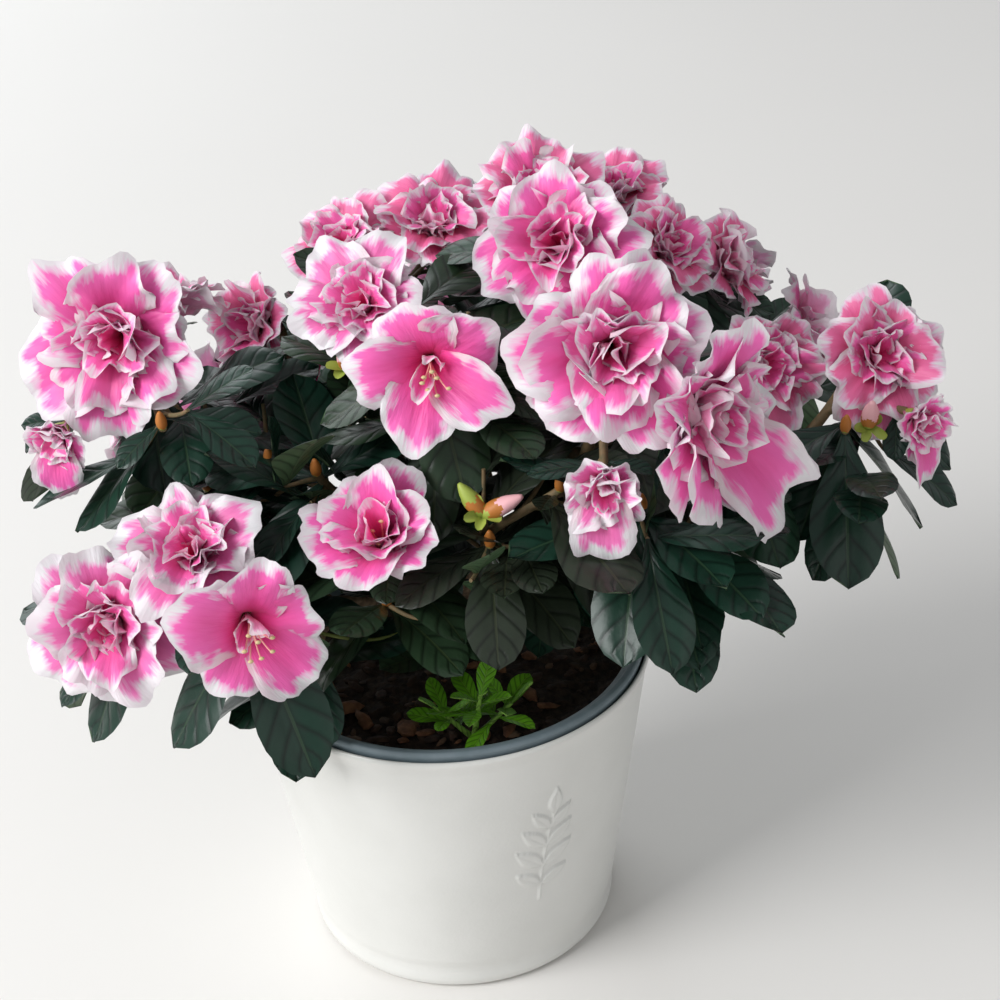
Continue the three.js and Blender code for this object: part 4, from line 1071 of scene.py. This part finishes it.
tinFinish, shader = newFinish("tin_enamel", (0.70, 0.70, 0.67), 0.34, Coat_Weight=0.25, Coat_Roughness=0.2)
dust, peel = solidNoise(shader, 35.0, 4.0), solidNoise(shader, 700.0, 1.0)
dusty = ramp(shader, dust, [(0.4, (0, 0, 0)), (0.75, (1, 1, 1))])
wire(shader, blend(shader, dusty, (0.71, 0.71, 0.68), (0.67, 0.67, 0.64)), "Base Color")
bump(shader, calc(shader, "MULTIPLY_ADD", peel, 0.5, dust), 0.0002, 0.5)
makePiece("tin", [tinPart(tinForm)], [tinFinish], ["tin_planter"])

# The grower's pot inside: a stepped lip with a groove along its inner edge
seat, wall = planter["floor"] + gap, liner["wall"]
lowOut, highOut = planter["foot"] - planter["wall"] - 2.5, liner["lip"] - 3
top, lip, wide, step = (liner[key] for key in ("top", "lip", "lipWidth", "step"))
neck, within = top - liner["lipDrop"] - 1.5, seat + liner["floor"]
linerProfile = rounded([
    [0, seat], [lowOut, seat], [highOut, neck], [lip - 1.2, neck + 1.5], [lip, top - 1], [lip - 0.8, top],
    [lip - wide * 0.5, top], [lip - wide * 0.6, top - step], [lip - wide, top - step - 0.4],
    [highOut - wall, neck], [lowOut - wall, within], [0, within]], 0.45)
linerFinish = mottledFinish("liner_plastic", (0.135, 0.18, 0.20), (0.165, 0.21, 0.235), 0.5, 160.0, 0.0002)
makePiece("liner", [turned(linerProfile, circle(160))], [linerFinish], ["liner_pot"])

# Compost: the filled pot's top, raised by depth x noise(scale x, scale y) for three sizes of crumb
soilForm = dict(rings=70, columns=240, crumbs=[(0.09, 2.6), (0.28, 1.5), (0.75, 0.8)])
bottom, soilLow, soilHigh = within + gap, lowOut - wall - gap, highOut - wall - gap
edgeLevel = soil["level"] - soil["mound"]
soilEdge = soilLow + (soilHigh - soilLow) / (neck - bottom) * (edgeLevel - bottom) - 0.3


def soilTop(radius, turn, up):
    x, y = radius * np.cos(turn), radius * np.sin(turn)
    bumps = sum(depth * valueNoise(x * scale + 40, y * scale + 40, 50 + k)
                for k, (scale, depth) in enumerate(soilForm["crumbs"]))
    return 0, (bumps - 0.2) * (up > soil["level"] - 8)


# The compost's level at a share of the way out: a low mound and a hollow near the edge
def levelAt(share, dip):
    return np.interp(share, [0, 0.3, 0.45, 0.78, 1],
                     [soil["level"], soil["level"], soil["level"] - 0.6, edgeLevel - dip, edgeLevel])


inward = np.linspace(1, 0.02, soilForm["rings"])
mound = np.column_stack([inward * soilEdge, levelAt(inward, soil["hollow"] * 0.4)])
soilProfile = [[0, bottom], [soilLow - 0.2, bottom], *mound, [0, soil["level"]]]
soilFinish = mottledFinish("compost", (0.012, 0.007, 0.005), (0.045, 0.026, 0.017), 0.95, 380.0, 0.0012)
compost = turned(soilProfile, circle(soilForm["columns"]), soilTop)
makePiece("compost", [compost], [soilFinish], ["soil"])

# Bark chips on the compost: middle + yaw x pitch x (ball x rough x stretch). big: x, y and size
chipForm = dict(count=210, out=56, size=(1.2, 3.6), wide=(0.45, 0.8), flat=(0.15, 0.32), tilt=0.3, rough=0.28,
                rings=5, sides=8, shares=[0.62, 0.22, 0.16],
                big=[(-37, -24, 6.5), (-29, -31, 5), (-14, -37, 6), (-8, -40, 4.5), (27, -22, 5.5),
                     (33, -28, 4), (-44, -12, 4.5), (20, -40, 4)])


def chipsPart(form, seed):
    rng, count = np.random.default_rng(seed), form["count"]
    turn, aside = rng.uniform(0, fullTurn, count), form["out"] * np.sqrt(rng.uniform(0.02, 1, count))
    scattered = np.column_stack([aside * np.cos(turn), aside * np.sin(turn),
                                 rng.uniform(*form["size"], count)])
    x, y, size = np.concatenate([scattered, form["big"]]).T
    total, angle = len(x), circle(form["sides"])
    latitude = np.linspace(0.12, 0.88, form["rings"])[:, None] * np.pi
    ball = np.stack(np.broadcast_arrays(np.sin(latitude) * np.cos(angle), np.sin(latitude) * np.sin(angle),
                                        -np.cos(latitude)), -1)
    stretch = np.stack([size, size * rng.uniform(*form["wide"], total),
                        size * rng.uniform(*form["flat"], total)], -1)
    yaw, pitch = rng.uniform(0, fullTurn, total), rng.normal(0, form["tilt"], total)
    c, s, cp, sp = np.cos(yaw), np.sin(yaw), np.cos(pitch), np.sin(pitch)
    turnBy = np.stack([np.stack([c * cp, -s, c * sp], -1), np.stack([s * cp, c, s * sp], -1),
                       np.stack([-sp, 0 * s, cp], -1)], 1)
    middle = np.stack([x, y, levelAt(np.hypot(x, y) / soilEdge, 0.5) + size * 0.14 + 0.35], -1)
    rough = 1 + rng.uniform(-form["rough"], form["rough"], (total, form["rings"], form["sides"], 1))

    def moved(points):
        each = (total,) + (1,) * (points.ndim - 2) + (3,)
        return np.einsum("nij,n...j->n...i", turnBy, points * stretch.reshape(each)) + middle.reshape(each)
    part = ringed(moved(ball * rough), *(moved(np.tile([0, 0, end], (total, 1))) for end in (-1.0, 1.0)))
    kind = np.where(np.arange(total) >= count, 1, rng.choice(3, total, p=form["shares"]))
    part["slots"] = np.repeat(kind, len(part["faces"]) // total)
    return part


chipFinishes = [mottledFinish(*chip, 300.0, 0.0005) for chip in (
    ("chip_dark", (0.022, 0.012, 0.008), (0.06, 0.03, 0.018), 0.9),
    ("chip_red", (0.13, 0.05, 0.022), (0.24, 0.11, 0.05), 0.85),
    ("chip_brown", (0.07, 0.035, 0.018), (0.14, 0.08, 0.045), 0.85))]
makePiece("bark_chips", [chipsPart(chipForm, 23)], chipFinishes, ["soil"])

# Floor, soft light and camera
stageForm = dict(floor=6.0, colours=[(0.77, 0.75, 0.72), (0.80, 0.78, 0.75)], sky=(0.95, 0.97, 1.0),
                 strength=0.42)
floorMesh = bpy.data.meshes.new("floor")
floorMesh.from_pydata([(x * stageForm["floor"], y * stageForm["floor"], 0)
                       for x, y in ((-1, -1), (1, -1), (1, 1), (-1, 1))], [], [(0, 1, 2, 3)])
floorFinish, shader = newFinish("floor", stageForm["colours"][0], 0.7)
wire(shader, blend(shader, solidNoise(shader, 3.0, 3.0), *stageForm["colours"]), "Base Color")
floorMesh.materials.append(floorFinish)
floor = bpy.data.objects.new("floor", floorMesh)
bpy.context.scene.collection.objects.link(floor)

world = bpy.data.worlds.new("studio")
bpy.context.scene.world = world
world.use_nodes = True
sky = world.node_tree.nodes["Background"].inputs
sky["Color"].default_value, sky["Strength"].default_value = (*stageForm["sky"], 1), stageForm["strength"]
lamps = [   # name, place, aim, size, power, colour
    ("window", (-1.5, -0.8, 1.3), (0, 0, 0.16), 1.2, 45, (0.985, 0.99, 1.0)),
    ("fill", (1.4, -1.3, 0.9), (0, 0, 0.16), 1.4, 3, (1.0, 0.98, 0.95)),
    ("back", (-0.9, 1.6, 1.0), (0, 0, 0.2), 1.6, 16, (0.93, 0.97, 1.0)),
]


# Puts a lamp or the camera in place by its own three axes
def setUp(name, data, place, right, above, back):
    thing = bpy.data.objects.new(name, data)
    thing.matrix_world = Matrix((right, above, back)).transposed().to_4x4()
    thing.matrix_world.translation = place
    bpy.context.scene.collection.objects.link(thing)
    return thing


for name, place, aim, size, power, colour in lamps:
    lamp = bpy.data.lights.new(name, "AREA")
    lamp.size, lamp.energy, lamp.color = size, power, colour
    back = unit(np.array(place) - aim)
    side = unit(np.cross(upward, back))
    setUp(name, lamp, place, side, np.cross(back, side), back)

# The photograph's camera: level with the x axis, pitched down and rolled a little
cameraForm = dict(place=(0.02071, -0.59691, 0.52338), pitch=30.86, roll=-2.98, lens=50, sensor=24)
pitch, roll = math.radians(cameraForm["pitch"]), math.radians(cameraForm["roll"])
back = np.array([0, -math.cos(pitch), math.sin(pitch)])
pair = np.array([1.0, 0, 0]), np.array([0, math.sin(pitch), math.cos(pitch)])
lens = bpy.data.cameras.new("camera")
lens.lens, lens.sensor_width, lens.sensor_fit = cameraForm["lens"], cameraForm["sensor"], "HORIZONTAL"
bpy.context.scene.camera = setUp("camera", lens, cameraForm["place"], spoke(pair, roll),
                                 spoke(pair, roll + np.pi / 2), back)
bpy.context.scene.view_settings.view_transform = "Standard"
print("floor, lamps and camera ready")
